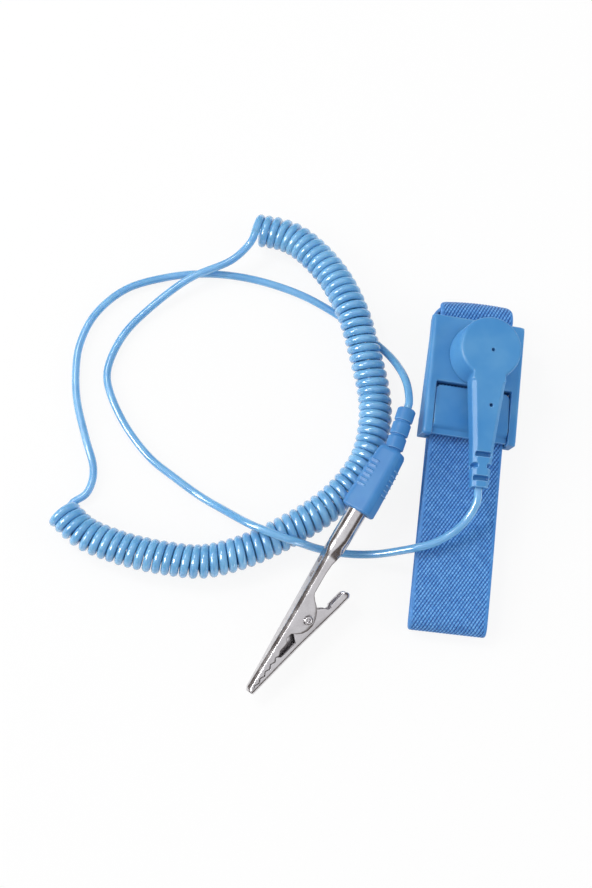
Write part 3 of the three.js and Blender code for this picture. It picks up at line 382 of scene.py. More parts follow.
@dataclass(frozen=True)
class Brushed:
    """Metal with fine lines drawn one way."""

    name: str
    tint: Colour
    shade: Colour
    lines: Point = (400.0, 9000.0, 9000.0)  # per metre along each axis
    roughness: Span = (0.25, 0.45)

    def material(self) -> bpy.types.Material:
        """Make the material."""
        g = Graph(self.name)
        inputs = {"Vector": g.object_place(), "Scale": self.lines}
        drawn = g.node("ShaderNodeMapping", {"vector_type": "POINT"}, inputs)
        line = g.noise(drawn, 1.0, 3.0, 0.7)
        return g.finish({
            "Base Color": g.mix(line, self.shade, self.tint),
            "Metallic": 1.0,
            "Roughness": g.between(line, 0.3, 0.7, self.roughness),
            "Normal": g.bump(line, 0.00002, 0.4),
        })


@dataclass(frozen=True)
class Ceramic:
    """Matt resistor body."""

    name: str = "ceramic"
    light: Colour = colour(214, 188, 146)
    deep: Colour = colour(184, 150, 108)

    def material(self) -> bpy.types.Material:
        """Make the material."""
        g = Graph(self.name)
        speckle = g.noise(g.object_place(), 3000.0, 3.0)
        return g.finish({
            "Base Color": g.mix(speckle, self.deep, self.light),
            "Roughness": g.between(speckle, 0.3, 0.7, (0.4, 0.6)),
            "Normal": g.bump(speckle, 0.00003, 0.5),
        })


FINISHES = {
    Slot.WEBBING: Webbing(),
    Slot.MOULDING: Moulding(),
    Slot.JACKET: Jacket(),
    Slot.STAINLESS: Brushed("stainless", colour(214, 215, 216), colour(168, 169, 172)),
    Slot.NICKEL: Plated(),
    Slot.SPRING_STEEL: Brushed("spring_steel", colour(150, 152, 156), colour(96, 98, 102)),
    Slot.CERAMIC: Ceramic(),
    Slot.COPPER: Brushed("copper", colour(206, 148, 104), colour(160, 104, 68)),
}


# ---- Modelling -------------------------------------------------------------------------------


def turn(degrees: float, axis: str) -> Matrix:
    """A turn about an axis."""
    return Matrix.Rotation(math.radians(degrees), 4, axis)


def loft(rings: Sequence[Sequence[Point]]) -> bmesh.types.BMesh:
    """A closed solid through rings of equally many points.

    Args:
        rings: The rings, in order, each going round the same way.

    Returns:
        The solid, with faces pointing outwards.
    """
    bm = bmesh.new()
    edges_before: list[bmesh.types.BMEdge] = []
    for ring in rings:
        points = [bm.verts.new(p) for p in ring]
        edges = [bm.edges.new((a, b)) for a, b in zip(points, points[1:] + points[:1])]
        if edges_before:
            bmesh.ops.bridge_loops(bm, edges=edges_before + edges)
        edges_before = edges
    bmesh.ops.holes_fill(bm, edges=[e for e in bm.edges if e.is_boundary], sides=0)
    bmesh.ops.recalc_face_normals(bm, faces=bm.faces)
    return bm


def block(x: Span, y: Span, z: Span) -> bmesh.types.BMesh:
    """A box between two values on each axis."""
    bm = bmesh.new()
    bmesh.ops.create_cube(bm, size=1.0)
    size = [high - low for low, high in (x, y, z)]
    middle = [(high + low) / 2 for low, high in (x, y, z)]
    bmesh.ops.scale(bm, vec=size, verts=bm.verts)
    bmesh.ops.translate(bm, vec=middle, verts=bm.verts)
    return bm


def turned(profile: Sequence[Span], steps: int = 64, axis: Matrix | None = None) -> bmesh.types.BMesh:
    """A profile spun into a closed solid.

    Args:
        profile: Radius and height of each point, from one end on the axis to the other.
        steps: Segments round the solid.
        axis: Where the solid's +Z goes.

    Returns:
        The solid.
    """
    bm = bmesh.new()
    points = [bm.verts.new((r, 0, z)) for r, z in profile]
    edges = [bm.edges.new(pair) for pair in zip(points, points[1:])]
    bmesh.ops.spin(
        bm, geom=points + edges, axis=UP, cent=(0, 0, 0), angle=2 * math.pi, steps=steps, use_merge=True
    )
    bmesh.ops.remove_doubles(bm, verts=bm.verts, dist=1e-4)
    bmesh.ops.recalc_face_normals(bm, faces=bm.faces)
    if axis is not None:
        bm.transform(axis)
    return bm


def rod(radius: float, span: Span, axis: Matrix | None = None, steps: int = 48) -> bmesh.types.BMesh:
    """A plain cylinder between two heights."""
    low, high = span
    return turned([(0, low), (radius, low), (radius, high), (0, high)], steps, axis)


def rounded(width: float, depth: float, corner: float, steps: int = 4) -> list[Span]:
    """The outline of a rectangle with round corners, centred on the origin."""
    points = []
    for quarter, (sx, sy) in enumerate(((1, 1), (-1, 1), (-1, -1), (1, -1))):
        cx, cy = sx * (width / 2 - corner), sy * (depth / 2 - corner)
        for i in range(steps + 1):
            angle = math.pi / 2 * (quarter + i / steps)
            points.append((cx + corner * math.cos(angle), cy + corner * math.sin(angle)))
    return points


def scene_object(bm: bmesh.types.BMesh, name: str) -> bpy.types.Object:
    """Turn a bmesh into an object of the scene."""
    mesh = bpy.data.meshes.new(name)
    bm.to_mesh(mesh)
    bm.free()
    made = bpy.data.objects.new(name, mesh)
    bpy.context.scene.collection.objects.link(made)
    return made


def applied(piece: bpy.types.Object) -> bpy.types.Object:
    """Bake a piece's modifiers into its mesh."""
    bpy.context.view_layer.update()
    seen = piece.evaluated_get(bpy.context.evaluated_depsgraph_get())
    mesh = bpy.data.meshes.new_from_object(seen)
    piece.modifiers.clear()
    piece.data = mesh
    return piece


def carved(
    name: str, solids: Sequence[bmesh.types.BMesh], cuts: Sequence[bmesh.types.BMesh]
) -> bpy.types.Object:
    """Join solids and cut others out of them.

    Args:
        name: The new object's name.
        solids: What is joined.
        cuts: What is cut away.

    Returns:
        The object, in millimetres.
    """
    piece = scene_object(solids[0], name)
    tools = [(bm, "UNION") for bm in solids[1:]] + [(bm, "DIFFERENCE") for bm in cuts]
    for bm, operation in tools:
        tool = scene_object(bm, "tool")
        step = piece.modifiers.new("step", "BOOLEAN")
        step.operation = operation
        step.solver = "EXACT"
        step.object = tool
        applied(piece)
        bpy.data.objects.remove(tool)
    return piece


def edged(piece: bpy.types.Object) -> bpy.types.Object:
    """Note on every point of a piece how sharply its surface turns outwards there."""
    mesh = piece.data
    count = len(mesh.vertices)
    spot, normal = np.empty(3 * count), np.empty(3 * count)
    mesh.vertices.foreach_get("co", spot)
    mesh.vertices.foreach_get("normal", normal)
    spot, normal = spot.reshape(-1, 3), normal.reshape(-1, 3)
    pairs = np.empty(2 * len(mesh.edges), dtype=np.int64)
    mesh.edges.foreach_get("vertices", pairs)
    first, second = pairs[0::2], pairs[1::2]
    way = spot[first] - spot[second]
    way /= np.maximum(np.linalg.norm(way, axis=1), 1e-9)[:, None]
    ends = np.concatenate([first, second])
    turns = np.concatenate([(way * normal[first]).sum(1), -(way * normal[second]).sum(1)])
    bend = np.bincount(ends, turns, count) / np.maximum(np.bincount(ends, minlength=count), 1)
    mesh.attributes.new("edge", "FLOAT", "POINT").data.foreach_set("value", bend.astype(np.float32))
    LOG.debug("%s: bends to %.2f", piece.name, float(bend.max()))
    return piece


def moulded(piece: bpy.types.Object, voxel: float, passes: int = 6) -> bpy.types.Object:
    """Give a solid the soft edges of a moulding.

    Args:
        piece: The solid, in millimetres.
        voxel: The size of a face.
        passes: Rounds of smoothing.

    Returns:
        The same object.
    """
    remesh = piece.modifiers.new("remesh", "REMESH")
    remesh.mode = "VOXEL"
    remesh.voxel_size = voxel
    soften = piece.modifiers.new("soften", "SMOOTH")
    soften.factor = 0.5
    soften.iterations = passes
    return edged(applied(piece))


def bevelled(
    piece: bpy.types.Object, width: float, segments: int = 3, angle: float = 35.0
) -> bpy.types.Object:
    """Round a solid's edges where its faces meet at more than an angle in degrees."""
    bevel = piece.modifiers.new("bevel", "BEVEL")
    bevel.width = width
    bevel.segments = segments
    bevel.limit_method = "ANGLE"
    bevel.angle_limit = math.radians(angle)
    bevel.harden_normals = False
    return applied(piece)


class Workshop:
    """Brings finished pieces to their place, dresses them and reports them."""

    def __init__(self, frame: dict[str, Any]) -> None:
        """Make the finishes for a loaded frame."""
        self.nodes: dict[str, bpy.types.Object] = frame["nodes"]
        self.materials = {slot: finish.material() for slot, finish in FINISHES.items()}
        self.slots = {row["node"]: Slot(row["material_slot"]) for row in frame["record"]["subparts"]}

    def dress_nodes(self) -> None:
        """Give every CAD node that stays in sight its finish."""
        for name, node in self.nodes.items():
            node.data.materials.clear()
            node.data.materials.append(self.materials[self.slots[name]])

    def place(
        self, piece: bpy.types.Object, frame: Matrix, body: Body, slot: Slot, *replaced: str
    ) -> bpy.types.Object:
        """Bring a piece from its own frame in millimetres to its place in metres.

        Args:
            piece: The piece.
            frame: Its sub-assembly's frame.
            body: The body that it rides on.
            slot: Its material slot.
            replaced: The CAD nodes that it stands for.

        Returns:
            The piece.
        """
        piece.data.transform(Matrix.Scale(MM, 4) @ frame)
        for polygon in piece.data.polygons:
            polygon.use_smooth = True
        piece.data.materials.clear()
        piece.data.materials.append(self.materials[slot])
        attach(piece, body.value)
        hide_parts(*replaced)
        LOG.info("%s: %d faces, on %s", piece.name, len(piece.data.polygons), body.value)
        return piece


def smooth_line(points: Sequence[Point], step: float) -> np.ndarray:
    """A smooth line through points, sampled at even steps.

    Args:
        points: The points.
        step: The distance between samples.

    Returns:
        The samples, one in a row, ends included.
    """
    p = np.array(points, float)
    p = np.vstack([2 * p[0] - p[1], p, 2 * p[-1] - p[-2]])
    fine = []
    for a, b, c, d in zip(p, p[1:], p[2:], p[3:]):
        knots = np.cumsum([0.0, *(max(np.linalg.norm(v) ** 0.5, 1e-4) for v in (b - a, c - b, d - c))])
        t = np.linspace(knots[1], knots[2], 24, endpoint=False)[:, None]
        ab = (a * (knots[1] - t) + b * (t - knots[0])) / (knots[1] - knots[0])
        bc = (b * (knots[2] - t) + c * (t - knots[1])) / (knots[2] - knots[1])
        cd = (c * (knots[3] - t) + d * (t - knots[2])) / (knots[3] - knots[2])
        abc = (ab * (knots[2] - t) + bc * (t - knots[0])) / (knots[2] - knots[0])
        bcd = (bc * (knots[3] - t) + cd * (t - knots[1])) / (knots[3] - knots[1])
        fine.append((abc * (knots[2] - t) + bcd * (t - knots[1])) / (knots[2] - knots[1]))
    line = np.vstack([*fine, p[-2:-1]])
    far = distances(line)
    places = np.linspace(0, far[-1], max(2, int(round(far[-1] / step)) + 1))
    return np.column_stack([np.interp(places, far, line[:, k]) for k in range(3)])


def distances(line: np.ndarray) -> np.ndarray:
    """How far along a line each of its points is."""
    return np.concatenate([[0.0], np.cumsum(np.linalg.norm(np.diff(line, axis=0), axis=1))])


def length_of(line: np.ndarray) -> float:
    """The length of a line through points."""
    return float(np.linalg.norm(np.diff(line, axis=0), axis=1).sum())


def mapped(
    name: str, columns: int, rows: int, place: Callable[[np.ndarray, np.ndarray], np.ndarray]
) -> bpy.types.Object:
    """A grid of faces laid over a surface.

    Args:
        name: The new object's name.
        columns: Points across.
        rows: Points along.
        place: Gives the points for arrays of column and row numbers.

    Returns:
        The object.
    """
    bm = bmesh.new()
    bmesh.ops.create_grid(bm, x_segments=columns - 1, y_segments=rows - 1, size=1.0)
    made = scene_object(bm, name)
    flat = np.empty(3 * columns * rows)
    made.data.vertices.foreach_get("co", flat)
    u = np.rint((flat[0::3] + 1) / 2 * (columns - 1)).astype(int)
    v = np.rint((flat[1::3] + 1) / 2 * (rows - 1)).astype(int)
    made.data.vertices.foreach_set("co", place(u, v).ravel())
    made.data.update()
    return made


# ---- Frames of the sub-assemblies ------------------------------------------------------------

WRIST = Matrix.Translation((-0.7, 0, 0)) @ turn(-6.5, "Z")
BUCKLE = WRIST @ Matrix.Translation((0, 20.6, 10)) @ turn(3.5, "X") @ turn(10, "Y")
HEAD = BUCKLE @ Matrix.Translation((0.9, 6, 0)) @ turn(1.8, "Z")
CLIP_AXIS = Matrix.Translation((-27.7, -13.2, 10.6)) @ turn(-121.3, "Z") @ turn(7.4, "Y")
PLUG = CLIP_AXIS @ turn(18, "X")
CLIP = CLIP_AXIS @ turn(-22, "X")
RELIEF = PLUG @ Matrix.Translation((-17.5, 0, 0)) @ turn(13, "Z") @ turn(-90, "Y")


# ---- Cord ------------------------------------------------------------------------------------

PLUG_NODES = ("plug_wire", "plug_pin", "pin_leaves")


@dataclass(frozen=True)
class CordSizes:
    """Sizes of the cord, and the ways that its two straight stretches lie."""

    diameter: float = 2.0
    curl_diameter: float = 2.14  # a little flattened against its neighbours
    curl_radius: float = 3.25
    curl_turns: float = 73.5
    curl_steps: int = 24
    curl_end: float = 2.0
    step: float = 1.2
    insertion: float = 1.4
    blend_start: Point = (-0.0165, -0.0223, 0.0078)  # where the wrist lead starts to follow the head
    head_exit: Point = (0, -34.5, 7.225)
    relief_length: float = 10.5
    wrist_lead: tuple[Point, ...] = (
        (-55.2, 59.3, 6.6), (-59.5, 55.9, 4.9), (-70.5, 51.3, 3.6), (-81, 43.7, 1.6),
        (-87.4, 36.9, 1.1), (-90.8, 30, 1.1), (-91.7, 25.3, 1.1), (-90.8, 20.7, 1.1),
        (-86.6, 11.8, 1.1), (-79.9, 3, 1.1), (-73.4, -2.3, 1.1), (-67, -7.1, 1.5),
        (-60.5, -11.6, 4.6), (-54, -16.1, 9.1), (-49.6, -18.2, 10.3), (-45.4, -19.8, 10.1),
        (-41.7, -20.5, 7.8), (-38, -21, 4.2), (-34.2, -21.5, 2.3), (-29.3, -22.2, 2.4),
        (-23.1, -22.6, 4.2), (-17.1, -22.4, 7.4), (-13.4, -22.1, 9.5), (-9.5, -21.2, 10.2),
        (-4.4, -18.6, 11), (-0.8, -15.3, 12.6),
    )
    clip_lead: tuple[Point, ...] = (
        (-95.9, -6.6, 1.2), (-94.4, -3.2, 1.2), (-94.3, 0.8, 1.2), (-96.4, 7.8, 1.2), (-99.2, 18.5, 1.2),
        (-99.8, 26.7, 1.2), (-99.1, 33.6, 1.2), (-95.5, 41.9, 1.2), (-87.8, 49, 1.2),
        (-77.4, 52.4, 1.2), (-66.8, 53.5, 1.2), (-54.9, 52.1, 1.2), (-41.6, 47.6, 1.2),
        (-31.2, 41.4, 1.2), (-22.7, 34.3, 2.0), (-17.6, 27.6, 5.6), (-14.9, 20.3, 10.2),
    )
    coil_axis: tuple[Point, ...] = (
        (-52.8, 64.6, 4.4), (-46.0, 63.2, 4.4), (-41.2, 60.5, 4.6), (-33.5, 51.6, 5.8),
        (-28.2, 40.6, 7), (-24.7, 28, 5.8), (-22.6, 17.5, 4.4), (-22.9, 9.5, 4.4),
        (-25, 1.6, 4.4), (-30.4, -6.2, 4.4), (-37.2, -12.2, 4.4), (-44.2, -16.5, 4.4),
        (-51.6, -20.3, 4.4), (-59, -23.1, 4.4), (-66.4, -24.5, 4.4), (-73.9, -23.8, 4.4),
        (-81.3, -22.4, 4.4), (-88.4, -20.3, 4.4), (-95.4, -17.2, 4.4), (-101.3, -11.8, 4.4),
    )


class Cord:
    """The cord: a coil with a straight lead at each end."""

    def __init__(self, shop: Workshop, sizes: CordSizes = CordSizes()) -> None:
        """Keep the sizes and lay out the coil's wire."""
        self.shop = shop
        self.sizes = sizes
        self.coil_line = self._coil_line()

    def _coil_line(self) -> np.ndarray:
        """The middle of the wire along the coil, with its two straight ends."""
        s = self.sizes
        axis = smooth_line(s.coil_axis, 0.5)
        count = round(s.curl_turns * s.curl_steps)
        places = np.linspace(0, len(axis) - 1, count + 1)
        middle = np.column_stack([np.interp(places, range(len(axis)), axis[:, k]) for k in range(3)])
        along = np.gradient(middle, axis=0)
        along /= np.linalg.norm(along, axis=1)[:, None]
        up = np.array(UP) - along * along[:, 2:]
        up /= np.linalg.norm(up, axis=1)[:, None]
        angle = -2 * math.pi * np.arange(count + 1)[:, None] / s.curl_steps
        away = up * np.cos(angle) + np.cross(along, up) * np.sin(angle)
        wire = middle + away * s.curl_radius
        ends = []
        for end, inner in ((0, 1), (-1, -2)):
            run = wire[end] - wire[inner]
            run -= away[end] * run.dot(away[end])
            ends.append(wire[end] + run / np.linalg.norm(run) * s.curl_end)
        return np.vstack([ends[0], wire, ends[1]])

    def _tube(
        self, name: str, line: np.ndarray, diameter: float, node: str
    ) -> tuple[bpy.types.Object, np.ndarray]:
        """A round tube along a line in millimetres, and its line in metres."""
        curve = bpy.data.curves.new(name, "CURVE")
        curve.dimensions = "3D"
        curve.bevel_depth = diameter / 2
        curve.bevel_resolution = 4
        curve.use_fill_caps = True
        spline = curve.splines.new("POLY")
        spline.points.add(len(line) - 1)
        spline.points.foreach_set("co", np.column_stack([line, np.ones(len(line))]).ravel())
        drawn = bpy.data.objects.new(name, curve)
        bpy.context.scene.collection.objects.link(drawn)
        bpy.context.view_layer.update()
        mesh = bpy.data.meshes.new_from_object(drawn.evaluated_get(bpy.context.evaluated_depsgraph_get()))
        bpy.data.objects.remove(drawn)
        made = bpy.data.objects.new(name, mesh)
        bpy.context.scene.collection.objects.link(made)
        made.data.transform(Matrix.Scale(MM, 4))
        for polygon in made.data.polygons:
            polygon.use_smooth = True
        made.data.materials.clear()
        made.data.materials.append(self.shop.materials[Slot.JACKET])
        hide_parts(node)
        return made, line * MM

    def _declare(
        self, piece: bpy.types.Object, line: np.ndarray
    ) -> None:
        """Log a stretch's length."""
        tuple(line[0])
        length_of(line)
        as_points(line)
        LOG.info("%s: %.3f m", piece.name, length_of(line))

    def build(self, plug_pieces: Sequence[Any] = ()) -> None:
        """Make the three stretches.

        Args:
            plug_pieces: What hangs on the clip lead's far end; not used.
        """
        s = self.sizes
        head_end = [
            tuple(HEAD @ (Vector(s.head_exit) + Vector((0, -far, 0)))) for far in (3, 1.5, -s.insertion)
        ]
        boot_end = [tuple(RELIEF @ Vector((0, 0, s.relief_length + far))) for far in (2, 1, -s.insertion)]
        coil, coil_line = self._tube("curly_cord", self.coil_line, s.curl_diameter, "cord_coil")
        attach(coil, Body.STRAP.value)
        self._declare(coil, coil_line)
        wrist, wrist_line = self._lead("wrist_lead", 0, s.wrist_lead, head_end, "cord_wrist_lead")
        gland = (float(wrist_line[-2][0]), *s.blend_start[1:])
        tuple(s.blend_start)
        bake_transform(wrist)
        self._declare(wrist, wrist_line)
        clip, clip_line = self._lead("clip_lead", -1, s.clip_lead, boot_end, "cord_clip_lead")
        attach(clip, Body.STRAP.value)
        self._declare(clip, clip_line)

    def _lead(
        self, name: str, end: int, route: Sequence[Point], far: Sequence[Point], node: str
    ) -> tuple[bpy.types.Object, np.ndarray]:
        """A straight stretch from an end of the coil along a route to a gland."""
        tip, inner = self.coil_line[end], self.coil_line[1 if end == 0 else end - 1]
        out = (tip - inner) / np.linalg.norm(tip - inner)
        start = [tip - out * 0.4, tip + out * 0.3, tip + out * self.sizes.diameter]
        line = smooth_line([*start, *route, *far], self.sizes.step)
        return self._tube(name, line, self.sizes.diameter, node)


# ---- Wristband -------------------------------------------------------------------------------


@dataclass(frozen=True)
class BandSizes:
    """Sizes of the strip, of its flat loop and of its weave."""

    width: float = 19.1
    hidden_extra: float = 0.7  # width where the buckle hides it
    drift: Span = (0.05, 0.4)  # how far it lies aside at the buckle and at the lower fold
    bow: float = 0.8  # of the upper fold's middle
    thickness: float = 1.3
    length: float = 85.0
    slit: float = 1.0
    centre: float = 20.6  # of the buckle, along the loop
    foot: float = 5.1  # the buckle's lower end, along the loop
    rib: float = 1.47  # from rib to rib, along the strip
    lean: float = 1.73  # rise of a rib for each millimetre across
    relief: float = 0.15
    outer: tuple[float, ...] = (1, 0.998, 0.99, 0.975, 0.955)  # places near an edge, of half the width
    inner: float = 0.93  # where the even columns begin
    rounding: float = 0.7  # of the two long edges
    reach: float = 0.3  # to both sides of a point, to find which way the strip runs there
    hem: float = 0.9  # width of the plain edge
    skew: float = 1.6  # how far the lower layer lies aside at the upper fold
    corner: float = 2.0  # the upper fold's rounding, seen from above
    fold_lean: float = 0.06  # of the upper fold, along for each millimetre across
    samples: int = 6
    columns: int = 54


class Wristband:
    """The elastic strip, woven in slanting ribs."""

    def __init__(self, shop: Workshop, sizes: BandSizes = BandSizes()) -> None:
        """Keep the sizes and lay out the strip's middle line."""
        self.shop = shop
        self.sizes = sizes
        local = WRIST.inverted() @ BUCKLE
        self.normal = (local.to_3x3() @ UP).normalized()
        self.point = local @ Vector((0, 0, -0.3 - sizes.thickness / 2))
        self.line, self.roll = self._line()

    def _upper(self, y: np.ndarray | float) -> np.ndarray | float:
        """The height of the upper layer's middle at a place along the loop."""
        n, p = self.normal, self.point
        return p.z + (n.x * p.x - n.y * (y - p.y)) / n.z

    def _line(self) -> tuple[np.ndarray, np.ndarray]:
        """The strip's middle line from end to end, and how far it is rolled at each point."""
        s, half = self.sizes, self.sizes.thickness / 2
        points, rolls = [], []

        def run(start: float, stop: float, upper: bool, roll: Callable[[np.ndarray], np.ndarray]) -> None:
            """Add a stretch of the upper or the lower layer."""
            y = np.linspace(start, stop, int(abs(stop - start) / 0.25) + 2)
            z = self._upper(y) if upper else np.full_like(y, half)
            points.append(np.column_stack([y, z]))
            rolls.append(roll(y))

        def fold(end: int, roll: float) -> None:
            """Add the half round at an end of the loop."""
            centre, radius = folds[end]
            t = np.linspace(0, math.pi, 26)[1:-1]
            t = t if end > 0 else t[::-1]
            y, z = centre + end * radius * np.sin(t), half + radius * (1 + np.cos(t))
            points.append(np.column_stack([y, z]))
            rolls.append(roll * (1 + np.cos(t)) / 2)

        folds = {}
        for end in (1, -1):
            radius = (self._upper(end * (s.length / 2 - s.thickness)) - half) / 2
            folds[end] = (end * (s.length / 2 - half - radius), radius)
        top, bottom = folds[1][0], folds[-1][0]

        def eased(y: np.ndarray) -> np.ndarray:
            """The upper layer's roll, from none at the fold to all of it at the buckle's foot."""
            t = np.clip((y - bottom) / (s.foot - bottom), 0, 1)
            return t * t * (3 - 2 * t)

        run(s.centre + s.slit / 2, top, True, eased)
        fold(1, 1.0)
        run(top, bottom, False, np.zeros_like)
        fold(-1, 0.0)
        run(bottom, s.centre - s.slit / 2, True, eased)
        return np.vstack(points), np.concatenate(rolls)

    def build(self) -> None:
        """Make the band."""
        s = self.sizes
        far = distances(self.line)
        half = s.width / 2
        LOG.info("wristband, flat: %.0f mm by %.1f mm", far[-1], s.width)
        outer = np.array(s.outer)
        across = np.concatenate([-outer, np.linspace(-s.inner, s.inner, s.columns), outer[::-1]])
        past = np.clip((np.abs(across) * half - half + s.rounding) / s.rounding, 0, 1)
        edge = np.sqrt(np.clip(1 - past**2, 0, 1))
        x = np.concatenate([across, across[-2:0:-1], across[:1]]) * half
        face = np.concatenate([edge, -edge[-2:0:-1], edge[:1]])
        rows = int((far[-1] + 2 * half * s.lean) / s.rib * s.samples) + 2
        slope = -self.normal.x / self.normal.z
        seam: list[np.ndarray] = []

        def place(u: np.ndarray, v: np.ndarray) -> np.ndarray:
            """The band's points, by column round its outline and by row along it."""
            run = v * s.rib / s.samples + (x[u] - half) * s.lean
            at = np.clip(run, 0, far[-1])
            y, z = (np.interp(at, far, self.line[:, k]) for k in range(2))
            ahead, behind = np.clip(at + s.reach, 0, far[-1]), np.clip(at - s.reach, 0, far[-1])
            dy, dz = (np.interp(ahead, far, self.line[:, k]) for k in range(2))
            by, bz = (np.interp(behind, far, self.line[:, k]) for k in range(2))
            along = np.column_stack([np.zeros_like(y), dy - by, dz - bz])
            along /= np.linalg.norm(along, axis=1)[:, None]
            side = np.column_stack([np.ones_like(y), np.zeros_like(y), slope * np.interp(at, far, self.roll)])
            side /= np.linalg.norm(side, axis=1)[:, None]
            out = np.cross(side, along)
            out /= np.linalg.norm(out, axis=1)[:, None]
            crest = np.abs(np.sin(math.pi * v / s.samples)) ** 0.7
            hem = np.clip((np.abs(x[u]) - half + s.hem) / 0.4, 0, 1)
            crest = crest * (1 - hem) + 0.8 * hem
            seam.extend([crest, run, 1 - hem])
            depth = (s.thickness / 2 - s.relief * (1 - crest)) * face[u]
            near = np.clip((y + s.thickness / 2 - s.length / 2) / s.corner + 1, 0, 1)
            wide = x[u] * (1 - s.corner * (1 - np.sqrt(1 - near**2)) / half)
            bowed = s.bow * (1 - 0.7 * (x[u] / half) ** 2)
            shear = (s.fold_lean * wide + bowed) * np.clip(y / s.length * 8 - 3, 0, 1)
            wide = wide - np.interp(y, (-s.length / 2, s.foot), s.drift[::-1])
            under = np.clip((y - s.foot - 3) / 4, 0, 1) * np.clip((s.length / 2 - 7 - y) / 2, 0, 1)
            wide = wide * (1 + s.hidden_extra / s.width * under)
            low = 1 - np.clip((z - s.thickness / 2) / (self.line[:, 1].max() - s.thickness / 2), 0, 1)
            wide = wide - s.skew * low * np.clip(y / s.length * 6 - 1.8, 0, 1)
            lift = np.column_stack([np.zeros_like(y), y + shear, z])
            return lift + side * wide[:, None] + out * depth[:, None]

        band = mapped("wristband", len(x), rows, place)
        for name, values in (("rib", seam[0]), ("run", (seam[1] + x_of(band)) * MM), ("weave", seam[2])):
            layer = band.data.attributes.new(name, "FLOAT", "POINT")
            layer.data.foreach_set("value", values.astype(np.float32))
        bm = bmesh.new()
        bm.from_mesh(band.data)
        bmesh.ops.remove_doubles(bm, verts=bm.verts, dist=1e-5)
        bmesh.ops.recalc_face_normals(bm, faces=bm.faces)
        bm.to_mesh(band.data)
        bm.free()
        self.shop.place(band, WRIST, Body.STRAP, Slot.WEBBING, "wrist_band")


def x_of(piece: bpy.types.Object) -> np.ndarray:
    """The x of every point of a piece."""
    flat = np.empty(3 * len(piece.data.vertices))
    piece.data.vertices.foreach_get("co", flat)
    return flat[0::3]


# ---- Buckle ----------------------------------------------------------------------------------


@dataclass(frozen=True)
class BuckleSizes:
    """Sizes of the buckle and its lever, in the buckle's frame."""

    half_width: float = 12.0
    end: float = 15.5
    thickness: float = 3.0
    edge: float = 0.9
    corner: float = 1.0
    skirt: float = 1.6
    flare: float = 0.1
    foot: float = -3.3
    rise: float = 4.0  # of the walls' foot up to the upper end
    anvil_top: float = -1.9
    window: float = 9.7  # half its width
    window_top: float = -1.8
    anvil: float = 5.0
    stud: Span = (0.9, 6.0)
    stud_hole: float = 2.1
    pin: Span = (-11.9, 1.5)
    pin_reach: float = 10.8
    pin_hole: float = 1.0
    lever_gap: float = 0.15
    voxel: float = 0.2


class Buckle:
    """The buckle's frame and the clasp lever."""

    def __init__(self, shop: Workshop, sizes: BuckleSizes = BuckleSizes()) -> None:
        """Keep the sizes."""
        self.shop = shop
        self.sizes = sizes

    def _across(self, radius: float, reach: float) -> bmesh.types.BMesh:
        """A rod along the hinge pin's axis."""
        return rod(radius, (-reach, reach), Matrix.Translation((0, *self.sizes.pin)) @ turn(90, "Y"))

    def _skirt(self, side: int) -> bmesh.types.BMesh:
        """A side wall, flared towards the lower end."""
        s = self.sizes
        top = s.thickness - s.edge
        rings = [
            [(side * (s.half_width - s.skirt), y, top), (side * s.half_width, y, top),
             (side * (s.half_width + flare), y, foot), (side * (s.half_width - s.skirt), y, foot)]
            for y, flare, foot in ((-s.end, s.flare, s.foot), (s.end, 0.0, s.foot + s.rise))
        ]
        return loft(rings)

    def frame(self) -> None:
        """Make the frame."""
        s = self.sizes
        rounding = [
            (s.thickness - s.edge * (1 - math.sin(a)), 2 * s.edge * (1 - math.cos(a)))
            for a in np.linspace(0, math.pi / 2, 5)
        ]
        rings = [
            [(x, y, z) for x, y in rounded(2 * s.half_width - less, 2 * s.end - less, s.corner)]
            for z, less in ((0, 0), *rounding)
        ]
        anvil = block((-s.half_width, s.half_width), (-s.end, s.anvil - s.end), (s.foot, s.anvil_top))
        window = block((-s.window, s.window), (-s.end - 1, s.window_top), (-1, s.thickness + 1))
        piece = carved(
            "buckle", [loft(rings), self._skirt(-1), self._skirt(1), anvil],
            [window, self._across(s.pin_hole, s.pin_reach + 0.3),
             rod(s.stud_hole, (-1, s.thickness + 1), Matrix.Translation((*s.stud, 0)))],
        )
        self.shop.place(moulded(piece, s.voxel, 5), BUCKLE, Body.STRAP, Slot.MOULDING, "buckle_frame")

    def lever(self) -> None:
        """Make the lever: a blade that swells over the pin and ends in a flat lip."""
        s = self.sizes
        half = s.window - s.lever_gap
        profile = [
            (-2.5, 0.7), (-2.5, 2.0), (-2.8, 2.35), (-6.0, 2.5), (-9.0, 2.8), (-11.9, 3.0),
            (-12.9, 2.85), (-13.5, 2.45), (-13.7, 2.0), (-13.95, 2.1), (-15.2, 2.05), (-15.2, 0.9),
            (-13.2, 0.75), (-12.6, 0.15), (-11.9, 0.0), (-11.0, 0.2), (-10.3, 0.7),
        ]
        blade = loft([[(x, y, z) for y, z in profile] for x in (-half, half)])
        corners = []
        for side in (-1, 1):
            square = block((half - 1.6, half + 1), (-4.1, -1.5), (-1, 4))
            inner = rod(1.6, (-2, 5), Matrix.Translation((half - 1.6, -4.1, 0)))
            corner = carved("corner", [square], [inner])
            bm = bmesh.new()
            bm.from_mesh(corner.data)
            bpy.data.objects.remove(corner)
            bmesh.ops.scale(bm, vec=(side, 1, 1), verts=bm.verts)
            bmesh.ops.recalc_face_normals(bm, faces=bm.faces)
            corners.append(bm)
        piece = carved("lever", [blade], [*corners, self._across(s.pin_hole, half + 1)])
        self.shop.place(moulded(piece, 0.17, 5), BUCKLE, Body.CLASP, Slot.MOULDING, "clasp_lever")

    def build(self) -> None:
        """Make both."""
        self.frame()
        self.lever()


# ---- Snap head -------------------------------------------------------------------------------


